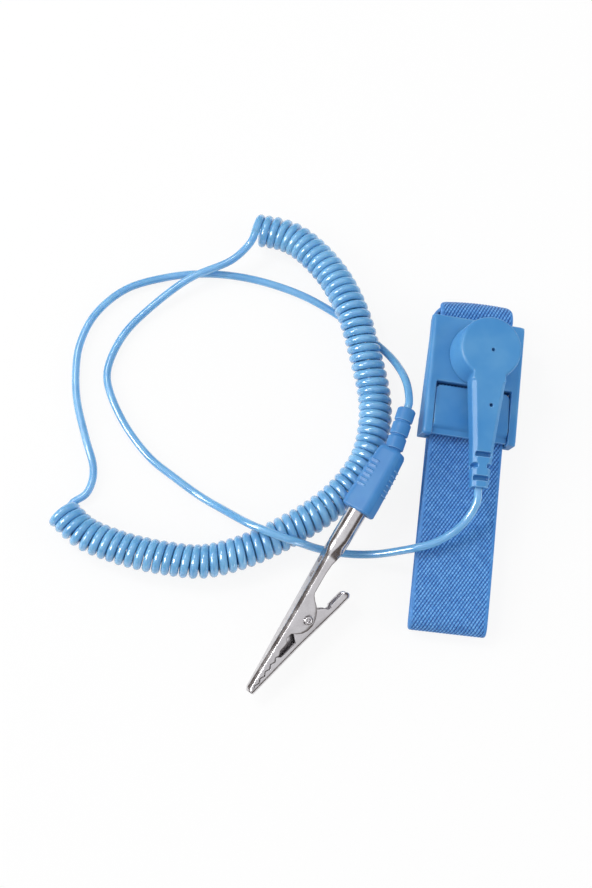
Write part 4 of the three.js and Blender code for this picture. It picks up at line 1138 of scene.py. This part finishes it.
@dataclass(frozen=True)
class HeadSizes:
    """Sizes of the snap head, in its own frame with the stud's axis as +Z."""

    radius: float = 8.2  # of the cap's foot
    top_radius: float = 7.8
    foot: float = 3.3
    top: float = 12.3
    edge: float = 0.9
    neck_foot: float = 4.9
    chamfer: float = 1.0
    chamfer_least: float = 0.3  # of the whole chamfer, where the neck leaves the cap
    merge: Span = (7.6, 8.9)  # the chamfer grows over this stretch of the neck
    neck: tuple[Point, ...] = (  # how far along, its width there and its top
        (5.0, 8.0, 12.3), (7.6, 8.4, 12.28), (8.2, 8.65, 12.26), (8.9, 8.55, 12.2), (24.0, 5.5, 10.8),
        (34.5, 4.2, 9.55),
    )
    undercut: float = 0.17  # how far the neck's walls draw in to its foot, of half its width
    cord_level: float = 7.225
    slots: Span = (26.5, 32.3)
    side_slot: float = 29.3
    slot_length: float = 1.2
    slot_width: float = 3.8
    slot_depth: float = 1.7
    # Where each mould mark is, and the top there
    marks: tuple[tuple[Point, float], ...] = (((0.5, -0.6, 0), 12.3), ((0.9, -14.4, 0), 11.4))
    voxel: float = 0.17


class SnapHead:
    """The snap head's shell with its neck."""

    def __init__(self, shop: Workshop, sizes: HeadSizes = HeadSizes()) -> None:
        """Keep the sizes."""
        self.shop = shop
        self.sizes = sizes

    def _neck_ring(self, along: float, width: float, top: float) -> list[Point]:
        """The neck's outline at a place along it."""
        s, x = self.sizes, width / 2
        start, end = s.merge
        c = s.chamfer * min(1.0, max(s.chamfer_least, (along - start) / (end - start)))
        foot = x * (1 - s.undercut)
        outline = [
            (-foot, s.neck_foot), (foot, s.neck_foot),
            (x, top - c), (x - c, top), (c - x, top), (-x, top - c),
        ]
        return [(px, -along, pz) for px, pz in outline]

    def _cavities(self) -> list[bmesh.types.BMesh]:
        """Room for the inner pieces."""
        s = self.sizes
        level = s.cord_level
        along = Matrix.Translation((0, 0, level)) @ turn(90, "X")
        return [
            rod(7.2, (s.foot - 1, 4.8)),
            rod(5.3, (s.foot - 1, 8.1)),
            block((-2.3, 2.3), (-21.3, -3.8), (s.foot - 1, 6.05)),
            block((-1.45, 1.45), (-17.7, -3.8), (s.neck_foot, level + 1.45)),
            rod(0.6, (16.7, 35.5), along, 24),
            rod(1.12, (33.0, 35.5), along, 40),
        ]

    def _slots(self) -> list[bmesh.types.BMesh]:
        """The cuts of the strain relief and two mould marks."""
        s = self.sizes
        end_top = s.neck[-1][2]
        wide = (-s.slot_width / 2, s.slot_width / 2)
        side = s.neck[-1][1] / 2
        tall = (s.cord_level - 1.4, s.top)

        def at(place: float, x: Span, z: Span, length: float = s.slot_length) -> bmesh.types.BMesh:
            """A slot across the neck at a place along it."""
            return block(x, (-place - length / 2, -place + length / 2), z)

        slope = (s.neck[-2][2] - end_top) / (s.neck[-1][0] - s.neck[-2][0])
        marks = [rod(0.45, (top - 1.6, 14), Matrix.Translation(spot)) for spot, top in s.marks]
        return [
            *(at(a, wide, (end_top + slope * (s.neck[-1][0] - a) - s.slot_depth, s.top)) for a in s.slots),
            *(at(a, wide, (s.neck_foot - 1, s.neck_foot + 1.0)) for a in s.slots),
            at(s.side_slot, (-side - 1, -side + 1.0), tall),
            at(s.side_slot, (side - 1.0, side + 1), tall),
            *marks,
        ]

    def build(self) -> None:
        """Make the shell."""
        s = self.sizes
        rounding = [
            (s.top_radius - s.edge + s.edge * math.cos(a), s.top - s.edge + s.edge * math.sin(a))
            for a in np.linspace(0, math.pi / 2, 7)
        ]
        cap = turned([(0, s.foot), (s.radius, s.foot), *rounding, (0, s.top)], 96)
        neck = loft([self._neck_ring(*row) for row in s.neck])
        piece = carved("snap_head", [cap, neck], [*self._cavities(), *self._slots()])
        self.shop.place(moulded(piece, s.voxel, 4), HEAD, Body.SNAP, Slot.MOULDING, "head_shell")


# ---- Plug ------------------------------------------------------------------------------------


@dataclass(frozen=True)
class PlugSizes:
    """Sizes of the plug's boot, along +X towards the clip, and of its collars, towards the cord."""

    width: float = 7.7
    thickness: float = 6.6
    length: float = 17.5
    corner: float = 1.6
    taper: tuple[Span, ...] = (
        (-17.5, 0.72), (-17.2, 0.79), (-16.6, 0.84), (-10.0, 0.94), (-3.0, 1.0), (-0.4, 1.0), (0.0, 0.91),
    )
    shroud: float = 6.0
    bore: float = 2.8
    ribs: int = 6
    rib_pitch: float = 1.35
    rib_width: float = 0.34
    rib_height: float = 0.35
    rib_start: float = 6.0
    face_rib: Span = (-2.6, -0.5)
    face_height: float = 0.3
    # The boot's finish is a darker copy of the moulding: painted shade that offsets the strong light on the
    # boot's face
    finish: Moulding = Moulding("boot_moulding_painted_shade", colour(72, 138, 198), colour(56, 124, 190))
    collars: int = 3
    collar_pitch: float = 3.7
    collar_length: float = 3.3
    collar_radius: float = 2.3
    collar_core: float = 1.85
    collar_edge: float = 0.4
    voxel: float = 0.12


class Plug:
    """The boot of the plug with its collars."""

    def __init__(self, shop: Workshop, sizes: PlugSizes = PlugSizes()) -> None:
        """Keep the sizes."""
        self.shop = shop
        self.sizes = sizes

    def _collars(self) -> bmesh.types.BMesh:
        """The strain relief."""
        s = self.sizes
        profile = [(0, -s.collar_core), (s.collar_core, -s.collar_core)]
        for i in range(s.collars):
            end = (i + 1) * s.collar_pitch
            start = end - s.collar_length
            profile += [(s.collar_core, start), (s.collar_radius, start)]
            profile += [(s.collar_radius, end - s.collar_edge), (s.collar_radius - s.collar_edge, end)]
            if i + 1 < s.collars:
                profile.append((s.collar_core, end))
        profile.append((0, s.collars * s.collar_pitch))
        return turned(profile, 64, PLUG.inverted() @ RELIEF)

    def build(self) -> bpy.types.Object:
        """Make the boot.

        Returns:
            The boot.
        """
        s = self.sizes
        along = turn(90, "Y")
        rings = [
            [(x, y, z) for y, z in rounded(s.width * share, s.thickness * share, s.corner)]
            for x, share in s.taper
        ]
        ribs = []
        for i in range(s.ribs):
            start = -s.rib_start - i * s.rib_pitch
            y, z = s.width / 2 + s.rib_height, s.thickness / 2 - s.corner
            share = float(np.interp(start, *zip(*s.taper)))
            y, z = y * share, z * share
            ribs.append(block((start - s.rib_width, start), (-y, y), (-z, z)))
            low, high = s.thickness / 2 * share, s.thickness / 2 * share + s.face_height
            front, back = start + 0.2, start - s.rib_width
            wedge = [(front, 0), (front, low), (back, high), (back, 0)]
            ribs.append(loft([[(x, y, z) for x, z in wedge] for y in s.face_rib]))
        relief = PLUG.inverted() @ RELIEF
        end = s.collars * s.collar_pitch
        cuts = [
            rod(s.bore, (-s.shroud, 1), along, 64), rod(1.4, (-15.3, 1), along),
            rod(0.6, (-17.8, -15), along, 24),
            rod(0.6, (-1, end + 1), relief, 24), rod(1.12, (end - 1.6, end + 1), relief, 40),
        ]
        piece = carved("boot", [loft(rings), *ribs, self._collars()], cuts)
        boot = self.shop.place(moulded(piece, s.voxel, 2), PLUG, Body.STRAP, Slot.MOULDING, "plug_boot")
        # The darker copy of the moulding is painted shade
        boot.data.materials[0] = s.finish.material()
        return boot


# ---- Clip ------------------------------------------------------------------------------------


@dataclass(frozen=True)
class ClipSizes:
    """Sizes of the clip: [along, across] from the middle of the boot's open end."""

    sheet: float = 0.6
    barrel: float = 2.5
    barrel_back: float = -5.0
    pinch: Span = (8.0, 13.5)
    length: float = 51.0
    pivot: Span = (29.0, 2.7)
    teeth: int = 5
    teeth_from: float = 40.6
    meeting: Span = (-0.5, 0.5)  # of the teeth, across: at the tip and at their inner end
    tooth: float = 0.6
    gap: float = 0.35
    fold: float = 0.9  # outer radius of the moving jaw's bends between back and cheeks
    facet: float = 0.95  # of the fixed jaw's bends, a flat between two rounds
    facet_fold: float = 0.45
    facet_tilt: float = 54.0
    fixed_widths: tuple[Span, ...] = ((8.0, 5.0), (13.0, 6.2), (32.5, 5.6), (51.0, 3.0))
    moving_widths: tuple[Span, ...] = (
        (18.2, 2.6), (18.7, 3.3), (19.6, 3.8), (34.5, 3.8), (40.6, 3.6), (51.0, 3.0),
    )
    fixed_back: tuple[Span, ...] = ((8.0, -2.3), (13.0, -2.0), (29.0, -1.6), (50.0, -1.3), (51.0, -0.8))
    fixed_rim: tuple[Span, ...] = (
        (8.0, 2.2), (12.0, 1.3), (14.5, 0.6), (17.0, 0.4), (22.5, 0.5), (23.1, 0.75), (24.1, 1.6),
        (25.0, 2.6), (26.0, 3.35), (27.2, 3.9), (28.4, 4.25), (29.7, 4.3), (31.2, 3.9), (32.4, 3.1),
        (33.2, 2.0), (33.8, 0.8), (35.4, 0.35), (36.3, 1.2), (38.7, 0.7), (39.9, 1.1),
    )
    spine: tuple[Span, ...] = ((18.2, 9.1), (19.0, 9.3), (22.6, 8.4), (35.7, 4.65), (51.0, 0.9))
    moving_rim: tuple[Span, ...] = (
        (18.2, 8.0), (18.8, 7.3), (21.0, 6.7), (23.0, 6.2), (23.5, 6.5), (24.2, 6.2), (24.5, 5.2),
        (25.2, 4.2), (27.2, 1.2), (29.0, 0.6), (31.0, 0.9), (33.4, 1.5), (35.2, 3.2), (40.0, 1.9),
    )
    moving_far: tuple[Span, ...] = ((31.0, 0.9), (36.0, 0.9), (38.0, 1.2), (40.6, 0.85))
    back_slots: Span = (14.0, 18.0)
    rivet: float = 0.6
    rivet_head: float = 1.15


class Clip:
    """The clip: two jaws folded from sheet, and the rivet that joins them."""

    HALF = 15  # points from a jaw's rim to the middle of its back

    def __init__(self, shop: Workshop, sizes: ClipSizes = ClipSizes()) -> None:
        """Keep the sizes."""
        self.shop = shop
        self.sizes = sizes

    def _teeth(self, offset: float) -> list[Span]:
        """The toothed rim from its inner end to the tip."""
        s = self.sizes
        points = []
        for i in range(2 * s.teeth + 1):
            share = i / (2 * s.teeth)
            along = s.length + (s.teeth_from - s.length) * share
            across = s.meeting[0] + (s.meeting[1] - s.meeting[0]) * share
            points.append((along, across + offset + (s.tooth if i % 2 else 0.0)))
        return points[::-1]

    def _section(
        self, width: float, back: float, rim: float, way: int, far: float | None = None
    ) -> np.ndarray:
        """The folded sheet's outer face across the clip, rim to rim, as [across, aside] points.

        Args:
            width: The outer width.
            back: Where the back is, across.
            rim: Where the rims are, across.
            way: 1 if the rims are on the back's positive side, else -1.
            far: Where the lower cheek's rim is, if elsewhere.

        Returns:
            The points.
        """
        s = self.sizes
        radius, facet = (s.fold, 0.0) if way < 0 else (s.facet_fold, s.facet)
        arc = np.radians(np.linspace(0, 90, self.HALF - 5))
        tilt = math.radians(s.facet_tilt)
        past = arc > tilt
        down = radius * (1 - np.cos(arc)) + past * facet * math.sin(tilt)
        along = radius * np.sin(arc) + past * facet * math.cos(tilt)
        shrink = min(1.0, (width / 2 - 0.05) / down[-1])
        corner = back + way * along[-1] * shrink
        bend = np.column_stack([corner - way * along * shrink, width / 2 - down * shrink])
        sides = []
        for edge in (rim, rim if far is None else far):
            start = edge if (edge - corner) * way > 0.05 else corner + way * 0.05
            straight = np.column_stack([np.linspace(start, corner, 6)[:-1], np.full(5, width / 2)])
            sides.append(np.vstack([straight, bend]))
        return np.vstack([sides[0], [[back, 0.0]], sides[1][::-1] * (1, -1)])

    def _ring(self, radius: float) -> np.ndarray:
        """The barrel's outer face, with its seam on the rims' side."""
        angle = np.linspace(0.02, 2 * math.pi - 0.02, 2 * self.HALF + 1)
        return np.column_stack([radius * np.cos(angle), radius * np.sin(angle)])

    def _folded(
        self, name: str, stations: Sequence[float], section: Callable[[float], np.ndarray]
    ) -> bpy.types.Object:
        """A sheet through sections along the clip."""
        rows = np.array([section(u) for u in stations])
        alongs = np.array(stations)

        def place(column: np.ndarray, row: np.ndarray) -> np.ndarray:
            """The sheet's points, by column across it and by row along the clip."""
            across = rows[row, column]
            return np.column_stack([alongs[row], across])

        made = mapped(name, rows.shape[1], len(stations), place)
        bm = bmesh.new()
        bm.from_mesh(made.data)
        bmesh.ops.remove_doubles(bm, verts=bm.verts, dist=1e-4)
        bmesh.ops.recalc_face_normals(bm, faces=bm.faces)
        bm.to_mesh(made.data)
        bm.free()
        return made

    def _thick(self, piece: bpy.types.Object, inwards: float) -> bpy.types.Object:
        """Give a folded sheet its thickness."""
        solid = piece.modifiers.new("solid", "SOLIDIFY")
        solid.thickness = self.sizes.sheet
        solid.offset = inwards
        solid.use_even_offset = True
        return applied(piece)

    def _punched(self, piece: bpy.types.Object, cuts: Sequence[bmesh.types.BMesh]) -> bpy.types.Object:
        """Cut holes and round every edge a little."""
        bm = bmesh.new()
        bm.from_mesh(piece.data)
        name = piece.name
        bpy.data.objects.remove(piece)
        return bevelled(carved(name, [bm], cuts), 0.1, 2, 40)

    @staticmethod
    def _curve(points: Sequence[Span], u: float) -> float:
        """A value between given ones."""
        return float(np.interp(u, [p[0] for p in points], [p[1] for p in points]))

    def _pin(self, radius: float, reach: float) -> bmesh.types.BMesh:
        """A rod along the rivet's axis."""
        return rod(radius, (-reach, reach), Matrix.Translation((*self.sizes.pivot, 0)))

    def fixed_jaw(self) -> None:
        """Make the fixed jaw with its barrel and round ears."""
        s = self.sizes
        rim = [*s.fixed_rim, *self._teeth(0.0)]
        start, end = s.pinch
        stations = sorted({
            s.barrel_back, -4.9, 0.0, 4.0, start, *np.linspace(start, end, 12), *(p[0] for p in rim),
            *np.linspace(14, 25, 12), *np.linspace(33, 42, 8), *(p[0] for p in s.fixed_back),
            *(s.length - d for d in (0.0, 0.15, 0.4)),
        })

        def section(u: float) -> np.ndarray:
            """The sheet across the clip: the barrel's ring, then the folded jaw."""
            ring = self._ring(s.barrel)
            if u <= start:
                return ring
            width, back = self._curve(s.fixed_widths, u), self._curve(s.fixed_back, u)
            folded = self._section(width, back, self._curve(rim, u), 1)
            t = min((u - start) / (end - start), 1.0)
            waist = 1 - 0.12 * math.sin(math.pi * t)
            t = t * t * (3 - 2 * t)
            return (ring * (1 - t) + folded * t) * (1, waist)

        jaw = self._thick(self._folded("fixed_jaw", stations, section), -1.0)
        slots = [block((u, u + 1.6), (-4, -0.9), (-0.9, 0.9)) for u in s.back_slots]
        jaw = self._punched(jaw, [self._pin(s.rivet + 0.3, 5), *slots])
        self.shop.place(jaw, CLIP, Body.CLIP, Slot.NICKEL, "clip_fixed_jaw")

    def moving_jaw(self) -> None:
        """Make the moving jaw with its thumb lever."""
        s = self.sizes
        rim = [*s.moving_rim, *self._teeth(s.gap)]
        stations = sorted({
            *(p[0] for p in rim), *(p[0] for p in s.spine), *np.linspace(18.4, 24, 10),
            *np.linspace(24.7, 33.4, 14), *np.linspace(34, 42, 8), s.length,
        })

        def section(u: float) -> np.ndarray:
            """The folded sheet across the clip."""
            far = self._curve(s.moving_far, u) if s.moving_far[0][0] < u < s.moving_far[-1][0] else None
            return self._section(
                self._curve(s.moving_widths, u), self._curve(s.spine, u), self._curve(rim, u), -1, far
            )

        jaw = self._thick(self._folded("moving_jaw", stations, section), -1.0)
        jaw = self._punched(jaw, [self._pin(s.rivet + 0.3, 5)])
        self.shop.place(jaw, CLIP, Body.JAW, Slot.NICKEL, "clip_moving_jaw")

    def joint(self) -> None:
        """Make the rivet, with a domed head and a punched dimple."""
        s = self.sizes
        under, head = 3.1, s.rivet_head
        dome = [(head, under), (head, under + 0.15), (head * 0.86, under + 0.35), (head * 0.6, under + 0.42),
                (0.48, under + 0.4), (0.36, under - 0.5), (0.0, under - 0.5)]
        profile = [(0, -under - 0.5), (head * 0.8, -under - 0.5), (head, -under - 0.2), (head, -under),
                   (s.rivet, -under), (s.rivet, under), *dome]
        piece = scene_object(turned(profile, 48, Matrix.Translation((*s.pivot, 0))), "rivet")
        self.shop.place(bevelled(piece, 0.05, 2, 30), CLIP, Body.CLIP, Slot.NICKEL, "jaw_rivet")

    def build(self) -> None:
        """Make all three."""
        self.fixed_jaw()
        self.moving_jaw()
        self.joint()


# ---- Stage -----------------------------------------------------------------------------------


@dataclass(frozen=True)
class Studio:
    """The photograph's view and a soft, plain light."""

    target: Point = (-0.0427, 0.007, 0.0)
    distance: float = 0.36
    elevation: float = 74.0
    lens: float = 37.946
    sensor: float = 24.0
    ambient: float = 0.6
    key_power: float = 2.0
    key_size: float = 0.25
    left_power: float = 4.0
    floor_white: float = 0.88  # how far the camera sees the floor as plain white
    mirrored_white: float = 0.4  # and how far shiny pieces do
    fill_power: float = 2.2
    glint_power: float = 7.0

    def camera(self) -> None:
        """Make the camera."""
        data = bpy.data.cameras.new("camera")
        data.sensor_fit = "VERTICAL"
        data.sensor_height = self.sensor
        data.lens = self.lens
        data.clip_start, data.clip_end = 0.01, 10
        made = bpy.data.objects.new("camera", data)
        bpy.context.scene.collection.objects.link(made)
        bpy.context.scene.camera = made
        angle = math.radians(self.elevation)
        away = Vector((0, -math.cos(angle), math.sin(angle)))
        made.location = Vector(self.target) + away * self.distance
        made.rotation_mode = "QUATERNION"
        made.rotation_quaternion = (-away).to_track_quat("-Z", "Y")

    def floor(self) -> None:
        """A plain pale floor."""
        bm = bmesh.new()
        bmesh.ops.create_grid(bm, x_segments=1, y_segments=1, size=3.0)
        made = scene_object(bm, "floor")
        made.location.z = -0.0004
        g = Graph("floor")
        fine = g.noise(g.object_place(), 400.0, 2.0)
        seen = g.node("ShaderNodeLightPath", {}, {}, "Is Camera Ray")
        paper = g.node("ShaderNodeBsdfPrincipled", {}, {
            "Base Color": g.mix(fine, (0.9, 0.9, 0.9), (0.93, 0.93, 0.93)), "Roughness": 0.9,
            "Specular IOR Level": 0.1,
        })
        white = g.node("ShaderNodeEmission", {}, {"Color": (1, 1, 1)})
        mirrored = g.node("ShaderNodeLightPath", {}, {}, "Is Glossy Ray")
        share = seen * self.floor_white + mirrored * self.mirrored_white
        made.data.materials.append(g.end(g.node("ShaderNodeMixShader", {}, {0: share, 1: paper, 2: white})))

    def world(self) -> None:
        """White to the eye, softly graded to what reflects it."""
        scene = bpy.context.scene
        scene.world = bpy.data.worlds.new("studio")
        scene.world.use_nodes = True
        tree = scene.world.node_tree
        tree.nodes.clear()
        path = tree.nodes.new("ShaderNodeLightPath")
        place = tree.nodes.new("ShaderNodeTexCoord")
        split = tree.nodes.new("ShaderNodeSeparateXYZ")
        ramp = tree.nodes.new("ShaderNodeValToRGB")
        ramp.color_ramp.elements[0].position = 0.55
        ramp.color_ramp.elements[0].color = (0.11, 0.09, 0.08, 1)
        ramp.color_ramp.elements[1].position = 0.74
        ramp.color_ramp.elements[1].color = (0.84, 0.84, 0.86, 1)
        plain = tree.nodes.new("ShaderNodeBackground")
        plain.inputs["Color"].default_value = (1, 1, 1, 1)
        plain.inputs["Strength"].default_value = self.ambient
        graded = tree.nodes.new("ShaderNodeBackground")
        white = tree.nodes.new("ShaderNodeBackground")
        white.inputs["Color"].default_value = (1, 1, 1, 1)
        first, second = tree.nodes.new("ShaderNodeMixShader"), tree.nodes.new("ShaderNodeMixShader")
        out = tree.nodes.new("ShaderNodeOutputWorld")
        for start, end in (
            (place.outputs["Generated"], split.inputs[0]),
            (split.outputs["Z"], ramp.inputs["Fac"]),
            (ramp.outputs["Color"], graded.inputs["Color"]),
            (path.outputs["Is Glossy Ray"], first.inputs["Fac"]),
            (plain.outputs[0], first.inputs[1]),
            (graded.outputs[0], first.inputs[2]),
            (path.outputs["Is Camera Ray"], second.inputs["Fac"]),
            (first.outputs[0], second.inputs[1]),
            (white.outputs[0], second.inputs[2]),
            (second.outputs[0], out.inputs["Surface"]),
        ):
            tree.links.new(start, end)

    def lamp(
        self, name: str, place: Point, size: float, power: float, mirrored: bool, lights: bool = True
    ) -> None:
        """A square lamp that looks at the target and shows in shiny pieces or not."""
        data = bpy.data.lights.new(name, "AREA")
        data.size = size
        data.energy = power
        made = bpy.data.objects.new(name, data)
        bpy.context.scene.collection.objects.link(made)
        made.location = place
        made.visible_glossy, made.visible_diffuse = mirrored, lights
        way = Vector(self.target) - Vector(place)
        made.rotation_mode = "QUATERNION"
        made.rotation_quaternion = way.to_track_quat("-Z", "Y")

    def card(self, name: str, place: Point, width: float, height: float) -> None:
        """A dark card that only shiny pieces see."""
        bm = bmesh.new()
        bmesh.ops.create_grid(bm, x_segments=1, y_segments=1, size=0.5)
        bmesh.ops.scale(bm, vec=(width, height, 1), verts=bm.verts)
        made = scene_object(bm, name)
        made.location = place
        made.rotation_mode = "QUATERNION"
        made.rotation_quaternion = (Vector(self.target) - Vector(place)).to_track_quat("Z", "Y")
        made.visible_camera = made.visible_diffuse = made.visible_shadow = False
        g = Graph(name)
        made.data.materials.append(g.finish({"Base Color": (0.015, 0.015, 0.017), "Roughness": 0.9}))

    def build(self) -> None:
        """Make the whole stage."""
        bpy.context.scene.view_settings.view_transform = "Standard"
        self.camera()
        self.floor()
        self.world()
        self.lamp("key", (-0.45, 0.35, 0.8), self.key_size, self.key_power, True)
        self.lamp("left", (-0.85, 0.1, 0.4), 0.7, self.left_power, False)
        self.lamp("right", (0.8, -0.1, 0.35), 0.6, self.fill_power, False)
        self.lamp("glint", (-0.6, -0.1, 0.42), 0.3, self.glint_power, True, False)
        self.card("card", (0.25, 0.5, 0.3), 0.5, 0.12)


# ---- Scene -----------------------------------------------------------------------------------


def main() -> None:
    """Build the scene."""
    logging.basicConfig(level=logging.INFO, format="%(message)s")
    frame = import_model()
    Studio().build()
    shop = Workshop(frame)
    shop.dress_nodes()
    boot = Plug(shop).build()
    Cord(shop).build([boot, *(shop.nodes[name] for name in PLUG_NODES)])
    Wristband(shop).build()
    Buckle(shop).build()
    SnapHead(shop).build()
    Clip(shop).build()


if __name__ == "__main__":
    main()
